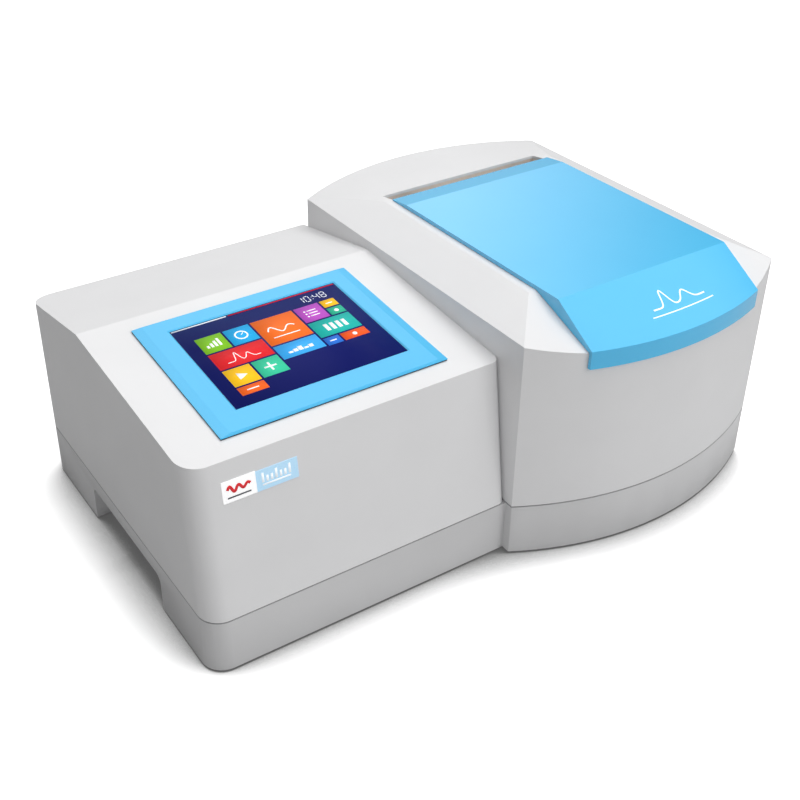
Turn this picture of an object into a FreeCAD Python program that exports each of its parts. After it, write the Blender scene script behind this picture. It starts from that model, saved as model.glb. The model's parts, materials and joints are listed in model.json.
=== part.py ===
import FreeCAD, Part
import math
import os

from FreeCAD import Vector as V

os.makedirs("parts", exist_ok=True)

# Millimetres. X runs across the front, Y to the back, Z up. The feet stand on Z = 0.

# whole instrument
halfWidth = 300.0
footHeight = 2.5
seamZ = 55.5
seamGap = 0.8
wall = 3.0

# console module, on the left of X = 0
consoleFrontY = -167.0
consoleBackY = 188.0
consoleCorner = 20.0
consoleInnerCorner = 4.0
panelFrontY = -146.3
panelFrontZ = 195.9
creaseY = 63.6
creaseZ = 214.0
stripBackZ = 190.8

# compartment module, on the right of X = 0
bayFrontY = -175.8
bayBackY = 178.5
bayFrontSag = 38.9
bayFrontLean = 3.6
bayBackSag = 38.9
bayBackLean = 3.6
plateauZ = 241.2
eaveZ = plateauZ - 17.8
hipRun = 42.0
plateauFrontY = -128.4
plateauBackY = 96.4
frontSlope = 0.38

# lid
lidX0 = 50.3
lidX1 = 251.1
lidRise = 4.3
lidTopZ = plateauZ + lidRise
lidCreaseY = -156.9
lidBevelY = 70.5
lidBackY = 95.0
lidBackZ = lidTopZ - 3.2
lipY = -203.8
lipSag = 17.0
lipTopZ = lidTopZ - 28.9
lipBottomZ = lipTopZ - 17.6
lidSkin = 3.0
lidRoofGap = 0.4
lidWallGap = 0.7

# sample well and the slot behind the lid
wellX0 = 66.0
wellX1 = 234.0
wellY0 = -117.0
wellY1 = 72.0
wellFloorZ = 101.0
wellWall = 3.0
slotX0 = 51.3
slotX1 = 247.3
slotY0 = 83.0
slotY1 = 114.5
slotFloorZ = plateauZ - 25.2
hingeY = 102.0
hingeZ = plateauZ - 13.2
hingeRodR = 2.0
runningClearance = 0.06

# cell changer
beamY = -22.0
beamZ = 138.0
cellPitch = 18.0
cellCount = 4
cellSlot = 12.6
changerX = 150.0
rodZ = 112.0
rodR = 4.0
rodOffset = 24.0
screwR = 4.0
sledY0 = -34.0
sledY1 = 44.0

# screen
screenX0 = -257.3
screenX1 = -40.0
screenS0 = 21.8
screenS1 = 190.2
glassX0 = -230.0
glassX1 = -63.7
glassS0 = 48.0
glassS1 = 171.4
bezelRise = 3.4

# two plain name plates on the console's front wall
labelX0 = -271.5
labelMid = -242.0
labelX1 = -204.6
labelZ0 = 159.7
labelZ1 = 178.2
labelThick = 0.6

# bench
benchTopZ = 98.0
benchThick = 8.0
benchFrontY = -150.0
benchBackY = consoleBackY - 38.0
benchX0 = -halfWidth + 15.0
benchX1 = halfWidth - 10.0


def box(x0, x1, y0, y1, z0, z1):
    return Part.makeBox(x1 - x0, y1 - y0, z1 - z0, V(x0, y0, z0))


def rod(x, y, z, r, length, axis):
    return Part.makeCylinder(r, length, V(x, y, z), axis)


def ring(x, y, z, r, hole, length, axis):
    return rod(x, y, z, r, length, axis).cut(rod(x, y, z, hole, length, axis))


X = V(1, 0, 0)
Y = V(0, 1, 0)
Z = V(0, 0, 1)


def polyFace(points):
    return Part.Face(Part.makePolygon([V(*p) for p in points] + [V(*points[0])]))


def prismX(points, x0, x1):
    return polyFace([(x0, y, z) for y, z in points]).extrude(V(x1 - x0, 0, 0))


def prismY(points, y0, y1):
    return polyFace([(x, y0, z) for x, z in points]).extrude(V(0, y1 - y0, 0))


def prismZ(points, z0, z1):
    return polyFace([(x, y, z0) for x, y in points]).extrude(V(0, 0, z1 - z0))


def soften(shape, radius, pick):
    """Rounds the straight edges that pick accepts, and leaves the shape as it is where that fails."""
    edges = [e for e in shape.Edges if pick(e)]
    if not edges:
        return shape
    try:
        out = shape.makeFillet(radius, edges)
        return out if out.isValid() and out.Volume > 0 else shape
    except Exception:
        return shape


def upright(e):
    a = e.Vertexes[0].Point
    b = e.Vertexes[-1].Point
    return abs(a.x - b.x) < 1e-6 and abs(a.y - b.y) < 1e-6 and abs(a.z - b.z) > 0.5


def roundedBox(x0, x1, y0, y1, z0, z1, r):
    return soften(box(x0, x1, y0, y1, z0, z1), r, upright)


def joined(shapes):
    out = shapes[0]
    for s in shapes[1:]:
        out = out.fuse(s)
    return out.removeSplitter()


def group(shapes):
    return Part.makeCompound(shapes)


def save(name, shape):
    shape.exportStep("parts/" + name + ".step")


# plans and housings

def roundedPlan(x0, x1, y0, y1, rFrontLeft, rFrontRight, rBack, z):
    """Plan of the console: round front corners and a round back-left corner, square at the back right."""
    k = 1 - math.sqrt(0.5)
    a = rFrontLeft
    b = rFrontRight
    c = rBack
    edges = [
        Part.makeLine(V(x0 + a, y0, z), V(x1 - b, y0, z)),
        Part.Arc(V(x1 - b, y0, z), V(x1 - b * k, y0 + b * k, z), V(x1, y0 + b, z)).toShape(),
        Part.makeLine(V(x1, y0 + b, z), V(x1, y1, z)),
        Part.makeLine(V(x1, y1, z), V(x0 + c, y1, z)),
        Part.Arc(V(x0 + c, y1, z), V(x0 + c * k, y1 - c * k, z), V(x0, y1 - c, z)).toShape(),
        Part.makeLine(V(x0, y1 - c, z), V(x0, y0 + a, z)),
        Part.Arc(V(x0, y0 + a, z), V(x0 + a * k, y0 + a * k, z), V(x0 + a, y0, z)).toShape(),
    ]
    return Part.Wire(edges)


def panelZ(y):
    return panelFrontZ + (creaseZ - panelFrontZ) * (y - panelFrontY) / (creaseY - panelFrontY)


def consoleSolid(inset, z0):
    """Console housing filled solid: raked front wall, sloped panel, back strip falling to the rear."""
    rake = (panelFrontY - consoleFrontY) / (panelFrontZ - seamZ)
    zTop = creaseZ + 10
    wires = []
    for z in (z0, zTop):
        front = consoleFrontY + rake * (z - seamZ) + inset
        wires.append(roundedPlan(-halfWidth + inset, -inset, front, consoleBackY - inset,
                                 consoleCorner - inset, max(consoleInnerCorner - inset, 1.0),
                                 consoleCorner - inset, z))
    blank = Part.makeLoft(wires, True, True)
    farY = consoleFrontY - 30
    drop = inset
    roof = [(farY, panelZ(farY) - drop), (creaseY, creaseZ - drop),
            (consoleBackY + 30, stripBackZ - 30 * (creaseZ - stripBackZ) / (consoleBackY - creaseY) - drop),
            (consoleBackY + 30, zTop + 40), (farY, zTop + 40)]
    return blank.cut(prismX(roof, -halfWidth - 10, 10))


def bayPlan(z, inset, frontSag, backSag):
    x0 = inset
    x1 = halfWidth - inset
    yf = bayFrontY + inset
    yb = bayBackY - inset
    mid = halfWidth / 2
    return Part.Wire([
        Part.Arc(V(x0, yf, z), V(mid, yf - frontSag, z), V(x1, yf, z)).toShape(),
        Part.makeLine(V(x1, yf, z), V(x1, yb, z)),
        Part.Arc(V(x1, yb, z), V(mid, yb + backSag, z), V(x0, yb, z)).toShape(),
        Part.makeLine(V(x0, yb, z), V(x0, yf, z)),
    ])


def bayBlank(inset, z0, z1):
    """Bowed front and back walls that lean out a little with height."""
    wires = []
    for z in (z0, z1):
        lean = (z - seamZ) / (eaveZ - seamZ)
        wires.append(bayPlan(z, inset, bayFrontSag + bayFrontLean * lean, bayBackSag + bayBackLean * lean))
    return Part.makeLoft(wires, True, True)


def backSlopeCutter(drop):
    """Everything above the ruled slope from the plateau's straight back edge to the bowed back eave."""
    reach = 1.25
    z0 = plateauZ - drop
    z1 = plateauZ - (plateauZ - eaveZ) * reach - drop
    sag = bayBackSag + bayBackLean
    yEnd = plateauBackY + (bayBackY - plateauBackY) * reach
    yMid = plateauBackY + (bayBackY + sag - plateauBackY) * reach
    xa = -20.0
    xb = halfWidth + 20.0
    mid = halfWidth / 2
    # the arc is carried past both ends on the same circle
    half = mid
    bow = yMid - yEnd
    radius = (half * half + bow * bow) / (2 * bow)
    yOut = yMid - radius + math.sqrt(radius * radius - (mid + 20) ** 2)
    line = Part.makeLine(V(xa, plateauBackY, z0), V(xb, plateauBackY, z0))
    arc = Part.Arc(V(xa, yOut, z1), V(mid, yMid, z1), V(xb, yOut, z1)).toShape()
    return Part.makeRuledSurface(line, arc).extrude(V(0, 0, 80))


def baySolid(inset, z0):
    """Compartment housing filled solid: hipped roof over the bowed plan."""
    z1 = plateauZ - inset
    shape = bayBlank(inset, z0, z1)
    hip = (plateauZ - eaveZ) / hipRun
    for x, s in ((0.0, 1), (halfWidth, -1)):
        zEave = eaveZ - inset
        shape = shape.cut(prismY([(x - s * 20, zEave - 20 * hip), (x + s * hipRun, zEave + hipRun * hip),
                                  (x + s * hipRun, 320), (x - s * 20, 320)], -260, 260))
    yFar = -260.0
    zFar = plateauZ - frontSlope * (plateauFrontY - yFar) - inset
    shape = shape.cut(prismX([(plateauFrontY, plateauZ - inset), (yFar, zFar), (yFar, 320),
                              (plateauFrontY, 320)], -30, halfWidth + 30))
    return shape.cut(backSlopeCutter(inset))


def consoleShell():
    shell = consoleSolid(0, seamZ).cut(consoleSolid(wall, seamZ - 1))
    # window for the screen module, cut square to the panel
    shell = shell.cut(onPanel(box(glassX0 - 4, glassX1 + 4, glassS0 - 4, glassS1 + 4, -20, 20)))
    # opening for the rear panel
    shell = shell.cut(roundedRear(rearX0, rearX1, rearZ0, rearZ1, consoleBackY - 10, consoleBackY + 5, 4.0))
    return shell.cut(sideOpenings())


def sideOpenings():
    """Beam port and the cut-out that lets the bench pass between the two housings."""
    port = rod(-10, beamY, beamZ, 14.0, 20, X)
    return port.fuse(box(-10, 10, benchFrontY - 1, benchBackY + 1, seamZ - 5, benchTopZ + 1))


def bayShell():
    shell = baySolid(0, seamZ).cut(baySolid(wall, seamZ - 1))
    above = plateauZ + 20
    shell = shell.cut(box(wellX0, wellX1, wellY0, wellY1, eaveZ, above))
    shell = shell.cut(box(slotX0, slotX1, slotY0, slotY1, eaveZ - 2, above))
    return shell.cut(sideOpenings())


def onPanel(shape):
    """Moves a shape drawn flat (X across, Y up the panel, Z outwards) on to the sloped panel."""
    tilt = math.degrees(math.atan2(creaseZ - panelFrontZ, creaseY - panelFrontY))
    out = shape.copy()
    out.rotate(V(0, 0, 0), X, tilt)
    out.translate(V(0, panelFrontY, panelFrontZ))
    return out


def basePlan(inset, z):
    """Outline of both modules together, as one tray."""
    left = roundedPlan(-halfWidth + inset, 6.0, consoleFrontY + inset, consoleBackY - inset,
                       consoleCorner - inset, 0.5, consoleCorner - inset, z)
    right = bayPlan(z, inset, bayFrontSag, bayBackSag)
    return left, right


def traySolid(inset, z0, z1):
    out = []
    for w in basePlan(inset, z0):
        out.append(Part.Face(w).extrude(V(0, 0, z1 - z0)))
    return out[0].fuse(out[1]).removeSplitter()


notchY0 = -71.5
notchY1 = 78.0
notchZ = 38.5
notchDepth = 28.0
notchCorner = 8.0
trayWall = 3.5
trayFloor = 3.0
tongue = 1.2


def notch(side, grow):
    """Hand-hold cut into the tray's side, open below, with rounded upper corners."""
    y0 = notchY0 - grow
    y1 = notchY1 + grow
    z1 = notchZ + grow
    depth = notchDepth + grow
    r = notchCorner
    k = 1 - math.sqrt(0.5)
    zb = footHeight - 5
    edges = [
        Part.makeLine(V(0, y0, zb), V(0, y1, zb)),
        Part.makeLine(V(0, y1, zb), V(0, y1, z1 - r)),
        Part.Arc(V(0, y1, z1 - r), V(0, y1 - r * k, z1 - r * k), V(0, y1 - r, z1)).toShape(),
        Part.makeLine(V(0, y1 - r, z1), V(0, y0 + r, z1)),
        Part.Arc(V(0, y0 + r, z1), V(0, y0 + r * k, z1 - r * k), V(0, y0, z1 - r)).toShape(),
        Part.makeLine(V(0, y0, z1 - r), V(0, y0, zb)),
    ]
    solid = Part.Face(Part.Wire(edges)).extrude(V(depth + 10, 0, 0))
    solid.translate(V(-halfWidth - 10, 0, 0) if side < 0 else V(halfWidth - depth, 0, 0))
    return solid


def baseTray():
    z1 = seamZ - seamGap
    tray = traySolid(0, footHeight, z1)
    tray = tray.fuse(traySolid(tongue, z1 - 1, seamZ)).removeSplitter()
    hollow = traySolid(trayWall, footHeight + trayFloor, seamZ + 5)
    for side in (-1, 1):
        hollow = hollow.cut(notch(side, trayWall))
    tray = tray.cut(hollow)
    for side in (-1, 1):
        tray = tray.cut(notch(side, 0))
    # bosses for the bench posts and slots for cooling air in the floor
    for x, y in postSpots:
        tray = tray.fuse(rod(x, y, footHeight + trayFloor - 0.5, 8, 4.5, Z))
    vents = [box(x, x + 3, -30, 40, 0, 10) for x in ventXs]
    return tray.cut(Part.makeCompound(vents))


postSpots = [(benchX0 + 30, benchFrontY + 7), (-60, benchFrontY + 7), (70, benchFrontY + 10),
             (benchX1 - 55, benchFrontY + 10), (-60, benchBackY - 30), (70, benchBackY - 20),
             (benchX1 - 55, benchBackY - 20), (-160, benchBackY - 30)]
ventXs = [-190 + 9 * i for i in range(9)]
feetSpots = [(-halfWidth + 38, -132), (-halfWidth + 38, 152), (20, -150), (20, 150),
             (halfWidth - 38, -150), (halfWidth - 38, 150)]


def rubberFeet():
    feet = []
    for x, y in feetSpots:
        foot = Part.makeCone(9.0, 10.0, footHeight, V(x, y, 0), Z)
        feet.append(foot)
    return group(feet)


# screen and labels

def touchBezel():
    """Raised frame with wide chamfers on its left and right sides and a step down to the glass."""
    wide = 9.0
    narrow = 1.6
    lip = 0.8
    outer = [(screenX0, 0), (screenX0, lip), (screenX0 + wide, bezelRise),
             (screenX1 - wide, bezelRise), (screenX1, lip), (screenX1, 0)]
    frame = prismY(outer, screenS0, screenS1)
    side = [(screenS0, 0), (screenS0, lip), (screenS0 + narrow, bezelRise),
            (screenS1 - narrow, bezelRise), (screenS1, lip), (screenS1, 0)]
    frame = frame.common(prismX(side, screenX0 - 1, screenX1 + 1))
    frame = frame.cut(box(glassX0, glassX1, glassS0, glassS1, -5, 10))
    rim = box(glassX0 - 3.6, glassX1 + 3.6, glassS0 - 3.6, glassS1 + 3.6, -6.0, 0.5)
    rim = rim.cut(box(glassX0, glassX1, glassS0, glassS1, -7, 2))
    return onPanel(frame.fuse(rim).removeSplitter())


glassTop = 2.2
glassThick = 2.6


def touchGlass():
    return onPanel(box(glassX0, glassX1, glassS0, glassS1, glassTop - glassThick, glassTop))


def screenModule():
    body = box(glassX0 + 1, glassX1 - 1, glassS0 + 1, glassS1 - 1, -7.5, glassTop - glassThick)
    board = box(glassX0 + 20, glassX1 - 20, glassS0 + 12, glassS1 - 12, -9.1, -7.5)
    chips = [box(glassX0 + 34 + 34 * i, glassX0 + 52 + 34 * i, glassS0 + 40, glassS0 + 58, -11.0, -9.1)
             for i in range(3)]
    return onPanel(joined([body, board] + chips))


def facePlate(x0, x1, z0, z1, thick):
    """Thin plate lying on the console's raked front wall."""
    rake = (panelFrontY - consoleFrontY) / (panelFrontZ - seamZ)
    pts = [(consoleFrontY + rake * (z0 - seamZ), z0), (consoleFrontY + rake * (z1 - seamZ), z1)]
    pts += [(pts[1][0] - thick, z1), (pts[0][0] - thick, z0)]
    return prismX(pts, x0, x1)


# sample well, windows, cell changer

def sampleWell():
    outer = box(wellX0 - wellWall, wellX1 + wellWall, wellY0 - wellWall, wellY1 + wellWall,
                wellFloorZ - wellWall, plateauZ)
    outer = outer.common(baySolid(wall, seamZ))
    well = outer.cut(box(wellX0, wellX1, wellY0, wellY1, wellFloorZ, plateauZ + 60))
    boss = box(changerX - 9, changerX + 9, wellY1 - 5, wellY1 + 0.5, wellFloorZ, rodZ + 9)
    well = well.fuse(boss)
    well = well.cut(rod(changerX, wellY0 - 10, rodZ, screwR + runningClearance, 20, Y))
    well = well.cut(rod(changerX, wellY1 - 6, rodZ, screwR + runningClearance, 4.5, Y))
    for x in (wellX0 - 5, wellX1 - 5):
        well = well.cut(rod(x, beamY, beamZ, windowHole, 10, X))
    return well.removeSplitter()


windowHole = 10.0


def beamWindows():
    return group([rod(wellX0 - wellWall + 0.5, beamY, beamZ, windowHole - 0.1, 2.0, X),
                  rod(wellX1 + 0.5, beamY, beamZ, windowHole - 0.1, 2.0, X)])


def windowRings():
    rings = []
    for x, d in ((wellX0, 1), (wellX1, -1)):
        flange = ring(x if d > 0 else x - 2.0, beamY, beamZ, 14.0, 7.0, 2.0, X)
        spigot = ring(x - 0.5 if d > 0 else x, beamY, beamZ, windowHole - 0.1, 7.0, 0.5, X)
        rings.append(flange.fuse(spigot).removeSplitter())
    return group(rings)


def guideRods():
    return group([rod(changerX + s * rodOffset, wellY0, rodZ, rodR, wellY1 - wellY0, Y) for s in (-1, 1)])


def leadScrew():
    """Plain core with a raised thread land where the nut runs and a coupling end inside the motor."""
    core = rod(changerX, wellY0 - wellWall - 14, rodZ, screwR, wellY1 - wellY0 + wellWall + 14 - 2, Y)
    collar = ring(changerX, wellY0 + 0.4, rodZ, 7.0, screwR - 0.5, 4.0, Y)
    flat = box(changerX + screwR - 1.0, changerX + 10, wellY0 + 8, wellY0 + 16, rodZ - 6, rodZ + 6)
    return core.fuse(collar).removeSplitter().cut(flat)


def changerMotor():
    y1 = wellY0 - wellWall
    y0 = y1 - 32
    h = 13.9
    body = roundedBox(changerX - h, changerX + h, y0, y1, rodZ - h, rodZ + h, 2.0)
    edges = [e for e in body.Edges if abs(e.Vertexes[0].Point.x - e.Vertexes[-1].Point.x) < 1e-6
             and abs(e.Vertexes[0].Point.z - e.Vertexes[-1].Point.z) < 1e-6]
    try:
        body = body.makeFillet(2.5, edges)
    except Exception:
        pass
    for s in (-1, 1):
        body = body.cut(box(changerX - 20, changerX + 20, y0 + 9, y1 - 9, rodZ + s * 16 - 3, rodZ + s * 16 + 3))
    plug = box(changerX - 8, changerX + 8, y0 - 6, y0, rodZ - 10, rodZ - 2)
    return body.fuse(plug).cut(rod(changerX, y1 - 16, rodZ, screwR + runningClearance, 20, Y))


def carriageSled():
    """Sled with two bushed rod bores, the nut bore between them and light pockets in its ends."""
    z0 = wellFloorZ + 3
    z1 = rodZ + 8
    sled = box(changerX - 34, changerX + 34, sledY0, sledY1, z0, z1)
    for s in (-1, 1):
        sled = sled.cut(rod(changerX + s * rodOffset, sledY0 - 1, rodZ, rodR + runningClearance, 100, Y))
        sled = sled.cut(box(changerX + s * 12 - 4, changerX + s * 12 + 4, sledY0 + 10, sledY1 - 10, z0 - 1, z1 - 3))
    return sled.cut(rod(changerX, sledY0 - 1, rodZ, screwR + runningClearance, 100, Y))


holderTopZ = 165.0
cellBottomZ = 123.0


def cuvetteHolder():
    """Block with open square cell wells in a row, a beam hole through each and a finger relief on top."""
    z0 = rodZ + 8
    block = box(changerX - 12, changerX + 12, sledY0, sledY1, z0, holderTopZ)
    half = cellSlot / 2
    for i in range(cellCount):
        y = beamY + cellPitch * i
        block = block.cut(box(changerX - half, changerX + half, y - half, y + half, cellBottomZ, holderTopZ + 1))
        block = block.cut(rod(changerX - 20, y, beamZ, 4.0, 40, X))
        block = block.cut(box(changerX - 20, changerX + 20, y - 4, y + 4, holderTopZ - 8, holderTopZ + 1))
    foot = box(changerX - 20, changerX + 20, sledY0 + 6, sledY1 - 6, z0, z0 + 3)
    foot = foot.cut(box(changerX - 11, changerX + 11, sledY0, sledY1, z0 - 1, z0 + 5))
    return joined([block, foot])


def screwHead(x, y, z, axis, r=3.0, h=2.0):
    """Pan head with a hexagon socket."""
    head = Part.makeCylinder(r, h, V(x, y, z), axis)
    side = r * 0.5
    pts = []
    u = V(0, 0, 1) if abs(axis.z) < 0.5 else V(1, 0, 0)
    w = axis.cross(u)
    for k in range(6):
        a = math.radians(60 * k)
        pts.append(V(x, y, z) + axis * (h * 0.4) + u * (side * math.cos(a)) + w * (side * math.sin(a)))
    socket = Part.Face(Part.makePolygon(pts + [pts[0]])).extrude(axis * h)
    return head.cut(socket)


def holderScrews():
    z = rodZ + 11
    spots = [(changerX + s * 16, y) for s in (-1, 1) for y in (sledY0 + 12, sledY1 - 12)]
    return group([screwHead(x, y, z, Z, 2.4, 1.6) for x, y in spots])


# hinge

def hingeTrough():
    t = 2.0
    outer = box(slotX0 - t, slotX1 + t, slotY0 - t, slotY1 + t, slotFloorZ - t, 260)
    return outer.common(baySolid(wall, seamZ)).cut(box(slotX0, slotX1, slotY0, slotY1, slotFloorZ, plateauZ + 60))


armXs = (70.0, 212.0)
armWidth = 16.0
flangeZ = plateauZ - 6.2
bracketXs = (62.0, 231.0)
bracketWidth = 5.0


def hingeRod():
    return rod(58.0, hingeY, hingeZ, hingeRodR, 182.0, X)


def hingeBrackets():
    out = []
    for x in bracketXs:
        pts = [(hingeY - 12, slotFloorZ), (hingeY + 11, slotFloorZ),
               (hingeY + 5, hingeZ), (hingeY - 5, hingeZ)]
        plate = prismX(pts, x, x + bracketWidth).fuse(rod(x, hingeY, hingeZ, 5.0, bracketWidth, X))
        out.append(plate.removeSplitter().cut(rod(x - 1, hingeY, hingeZ, hingeRodR, bracketWidth + 2, X)))
    return group(out)


def lidArms():
    out = []
    for x in armXs:
        pts = [(87, flangeZ), (94.5, flangeZ), (hingeY + 3.5, hingeZ + 3.6), (hingeY + 1, hingeZ - 4.8),
               (hingeY - 5, hingeZ - 1), (88, flangeZ - 3)]
        arm = prismX(pts, x, x + armWidth).fuse(rod(x, hingeY, hingeZ, 5.0, armWidth, X)).removeSplitter()
        out.append(arm.cut(rod(x - 1, hingeY, hingeZ, hingeRodR + runningClearance, armWidth + 2, X)))
    return group(out)


# lid

def lidPlan(inset, z, sag):
    x0 = lidX0 + inset
    x1 = lidX1 - inset
    y0 = lipY + inset
    y1 = lidBackY - inset
    return Part.Wire([
        Part.Arc(V(x0, y0, z), V((x0 + x1) / 2, y0 - sag, z), V(x1, y0, z)).toShape(),
        Part.makeLine(V(x1, y0, z), V(x1, y1, z)),
        Part.makeLine(V(x1, y1, z), V(x0, y1, z)),
        Part.makeLine(V(x0, y1, z), V(x0, y0, z)),
    ])


def lidFrontCutter(drop):
    """Everything above the ruled front slope, from the straight crease to the bowed lip edge."""
    reach = 1.15
    zA = lidTopZ - drop
    zB = lidTopZ - (lidTopZ - lipTopZ) * reach - drop
    yEnd = lidCreaseY + (lipY - lidCreaseY) * reach
    yMid = lidCreaseY + (lipY - lipSag - lidCreaseY) * reach
    mid = (lidX0 + lidX1) / 2
    half = (lidX1 - lidX0) / 2
    bow = yEnd - yMid
    radius = (half * half + bow * bow) / (2 * bow)
    out = half + 6
    yOut = yMid + radius - math.sqrt(radius * radius - out * out)
    line = Part.makeLine(V(mid - out, lidCreaseY, zA), V(mid + out, lidCreaseY, zA))
    arc = Part.Arc(V(mid - out, yOut, zB), V(mid, yMid, zB), V(mid + out, yOut, zB)).toShape()
    return Part.makeRuledSurface(line, arc).extrude(V(0, 0, 60))


def lidSolid(inset, drop):
    shape = Part.Face(lidPlan(inset, lipBottomZ, lipSag)).extrude(V(0, 0, lidTopZ - drop - lipBottomZ))
    shape = shape.cut(lidFrontCutter(drop))
    fall = (lidTopZ - lidBackZ) / (lidBackY - lidBevelY)
    yOut = lidBackY + 10
    back = [(lidBevelY, lidTopZ - drop), (yOut, lidTopZ - drop - fall * (yOut - lidBevelY)),
            (yOut, 300), (lidBevelY, 300)]
    return shape.cut(prismX(back, lidX0 - 10, lidX1 + 10))


def lidCover():
    """Thin moulded lid: flat top, bevelled back, ruled front slope, bowed lip and triangular cheeks."""
    body = baySolid(0, seamZ)
    up = body.copy()
    up.translate(V(0, 0, lidRoofGap))
    ahead = body.copy()
    ahead.translate(V(0, -lidWallGap, 0))
    shape = lidSolid(0, 0).cut(up).cut(ahead)
    # nothing below the roof behind the plateau's front edge
    shape = shape.cut(box(lidX0 - 5, lidX1 + 5, plateauFrontY, lidBackY + 20, 150, plateauZ + lidRoofGap))
    pocket = lidSolid(lidSkin, lidSkin)
    shape = shape.cut(pocket)
    flange = box(slotX0 + 3, slotX1 - 3, 86.0, lidBackY, flangeZ, plateauZ + lidRoofGap + 0.3)
    return shape.fuse(flange).removeSplitter()


linerX0 = wellX0 + 2
linerX1 = wellX1 - 2
linerY0 = wellY0 + 3
linerY1 = wellY1 - 6
linerTopZ = lidTopZ - lidSkin


def lidLiner():
    """Black light trap: a flat pan under the lid with a rib all round that dips into the well."""
    z0 = plateauZ - 9.2
    pan = roundedBox(linerX0, linerX1, linerY0, linerY1, z0, linerTopZ, 6.0)
    hollow = roundedBox(linerX0 + 3, linerX1 - 3, linerY0 + 3, linerY1 - 3, z0 - 1, linerTopZ - 3, 4.0)
    return pan.cut(hollow)


def lidSeal():
    """Soft strip round the liner, between the lid's underside and the roof."""
    z0 = plateauZ + 0.05
    z1 = linerTopZ
    outer = roundedBox(wellX0 - 9, wellX1 + 9, wellY0 - 6, wellY1 + 6, z0, z1, 8.0)
    inner = roundedBox(wellX0 - 4, wellX1 + 4, wellY0 - 2.5, wellY1 + 2.5, z0 - 1, z1 + 1, 6.0)
    return outer.cut(inner).common(lidSolid(lidSkin, lidSkin))


def linerScrews():
    z = linerTopZ - 3 - 1.8
    return group([screwHead(x, y, z + 1.8, V(0, 0, -1), 3.0, 1.8)
                  for x in (linerX0 + 16, linerX1 - 16) for y in (linerY0 + 16, linerY1 - 16)])


# bench and optics

def opticalBench():
    """Ribbed plate that carries lamps, monochromator, well and detector in line."""
    top = box(benchX0, benchX1, benchFrontY, benchBackY, benchTopZ - benchThick, benchTopZ)
    for y in (benchFrontY, benchBackY):
        top = top.cut(box(benchX0 - 1, benchX0 + 12, y - 12, y + 12, 0, 200))
    windows = [box(benchX0 + 15, benchX0 + 95, benchFrontY + 20, 10, 0, 200),
               box(-160, -30, benchFrontY + 10, -80, 0, 200),
               box(90, 210, 90, benchBackY - 10, 0, 200), box(10, 50, -100, 100, 0, 200)]
    return top.cut(Part.makeCompound(windows))


def benchPosts():
    z0 = footHeight + trayFloor + 4.0
    return group([rod(x, y, z0, 6.0, benchTopZ - benchThick - z0, Z) for x, y in postSpots])


monoX0 = -halfWidth + 130.0
monoX1 = -20.0
monoY0 = -60.0
monoY1 = 105.0
monoTopZ = 174.0


def monochromatorCase():
    case = roundedBox(monoX0, monoX1, monoY0, monoY1, benchTopZ, monoTopZ, 8.0)
    case = case.cut(roundedBox(monoX0 + 4, monoX1 - 4, monoY0 + 4, monoY1 - 4, benchTopZ + 4, monoTopZ + 5, 5.0))
    case = case.cut(rod(monoX1 - 10, beamY, beamZ, 9.0, 20, X))
    return case.cut(rod(monoX0 - 10, lampY, beamZ, 6.0, 20, X))


lampY = 60.0


def monochromatorCover():
    plate = roundedBox(monoX0, monoX1, monoY0, monoY1, monoTopZ, monoTopZ + 3, 8.0)
    ribs = [box(monoX0 + 20 + 28 * i, monoX0 + 23 + 28 * i, monoY0 + 12, monoY1 - 12, monoTopZ + 3, monoTopZ + 5)
            for i in range(5)]
    return joined([plate] + ribs)


def focusingMirrors():
    """Two square concave mirrors on brackets, each with a spherical hollow in its face."""
    out = []
    for y in (-22.0, 60.0):
        x = monoX0 + 12 if y < 0 else monoX1 - 22
        face = 1 if y < 0 else -1
        block = box(x, x + 10, y - 20, y + 20, beamZ - 20, beamZ + 20)
        base = box(x, x + 10, y - 14, y + 14, benchTopZ + 4, beamZ - 20)
        block = block.fuse(base)
        cx = x + 10 + 118 if face > 0 else x - 118
        out.append(block.removeSplitter().cut(Part.makeSphere(120.0, V(cx, y, beamZ))))
    return group(out)


gratingX = -95.0
gratingY = 20.0


def gratingTable():
    z0 = benchTopZ + 4 + 0.1
    table = rod(gratingX, gratingY, z0, 18.0, 8.0, Z)
    arm = box(gratingX - 4, gratingX + 4, gratingY - 34, gratingY - 10, z0 + 1, z0 + 5)
    clamp = box(gratingX - 17, gratingX + 17, gratingY - 7, gratingY - 3, z0 + 8, z0 + 16)
    return joined([table, arm, clamp])


def diffractionGrating():
    z0 = benchTopZ + 4 + 0.1 + 8
    blank = box(gratingX - 16, gratingX + 16, gratingY - 3, gratingY + 4, z0, z0 + 44)
    return blank


lampX0 = -halfWidth + 14.0
lampX1 = lampX0 + 94.0
lampHouseY0 = 24.0
lampHouseY1 = 148.0
lampTopZ = 172.0
lampWall = 2.5
lampSlotXs = [lampX0 + 12 + 10 * i for i in range(8)]
axialGap = 0.3
filterPin = 2.0


def lampHouse():
    house = box(lampX0, lampX1, lampHouseY0, lampHouseY1, benchTopZ, lampTopZ)
    t = lampWall
    house = house.cut(box(lampX0 + t, lampX1 - t, lampHouseY0 + t, lampHouseY1 - t, benchTopZ + t, lampTopZ - t))
    house = house.cut(rod(lampX1 - 10, lampY, beamZ, 9.0, 20, X))
    slots = [box(x, x + 4, lampHouseY0 + 14, lampHouseY1 - 14, lampTopZ - 5, lampTopZ + 5) for x in lampSlotXs]
    house = house.cut(Part.makeCompound(slots))
    # collar and pin that carry the filter wheel
    z = beamZ - filterRing
    collar = rod(lampX1, lampY, z, 5.0, filterX - 3 - axialGap - lampX1, X)
    pin = rod(lampX1, lampY, z, filterPin, filterX + 7 - lampX1, X)
    return joined([house, collar, pin])


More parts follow.
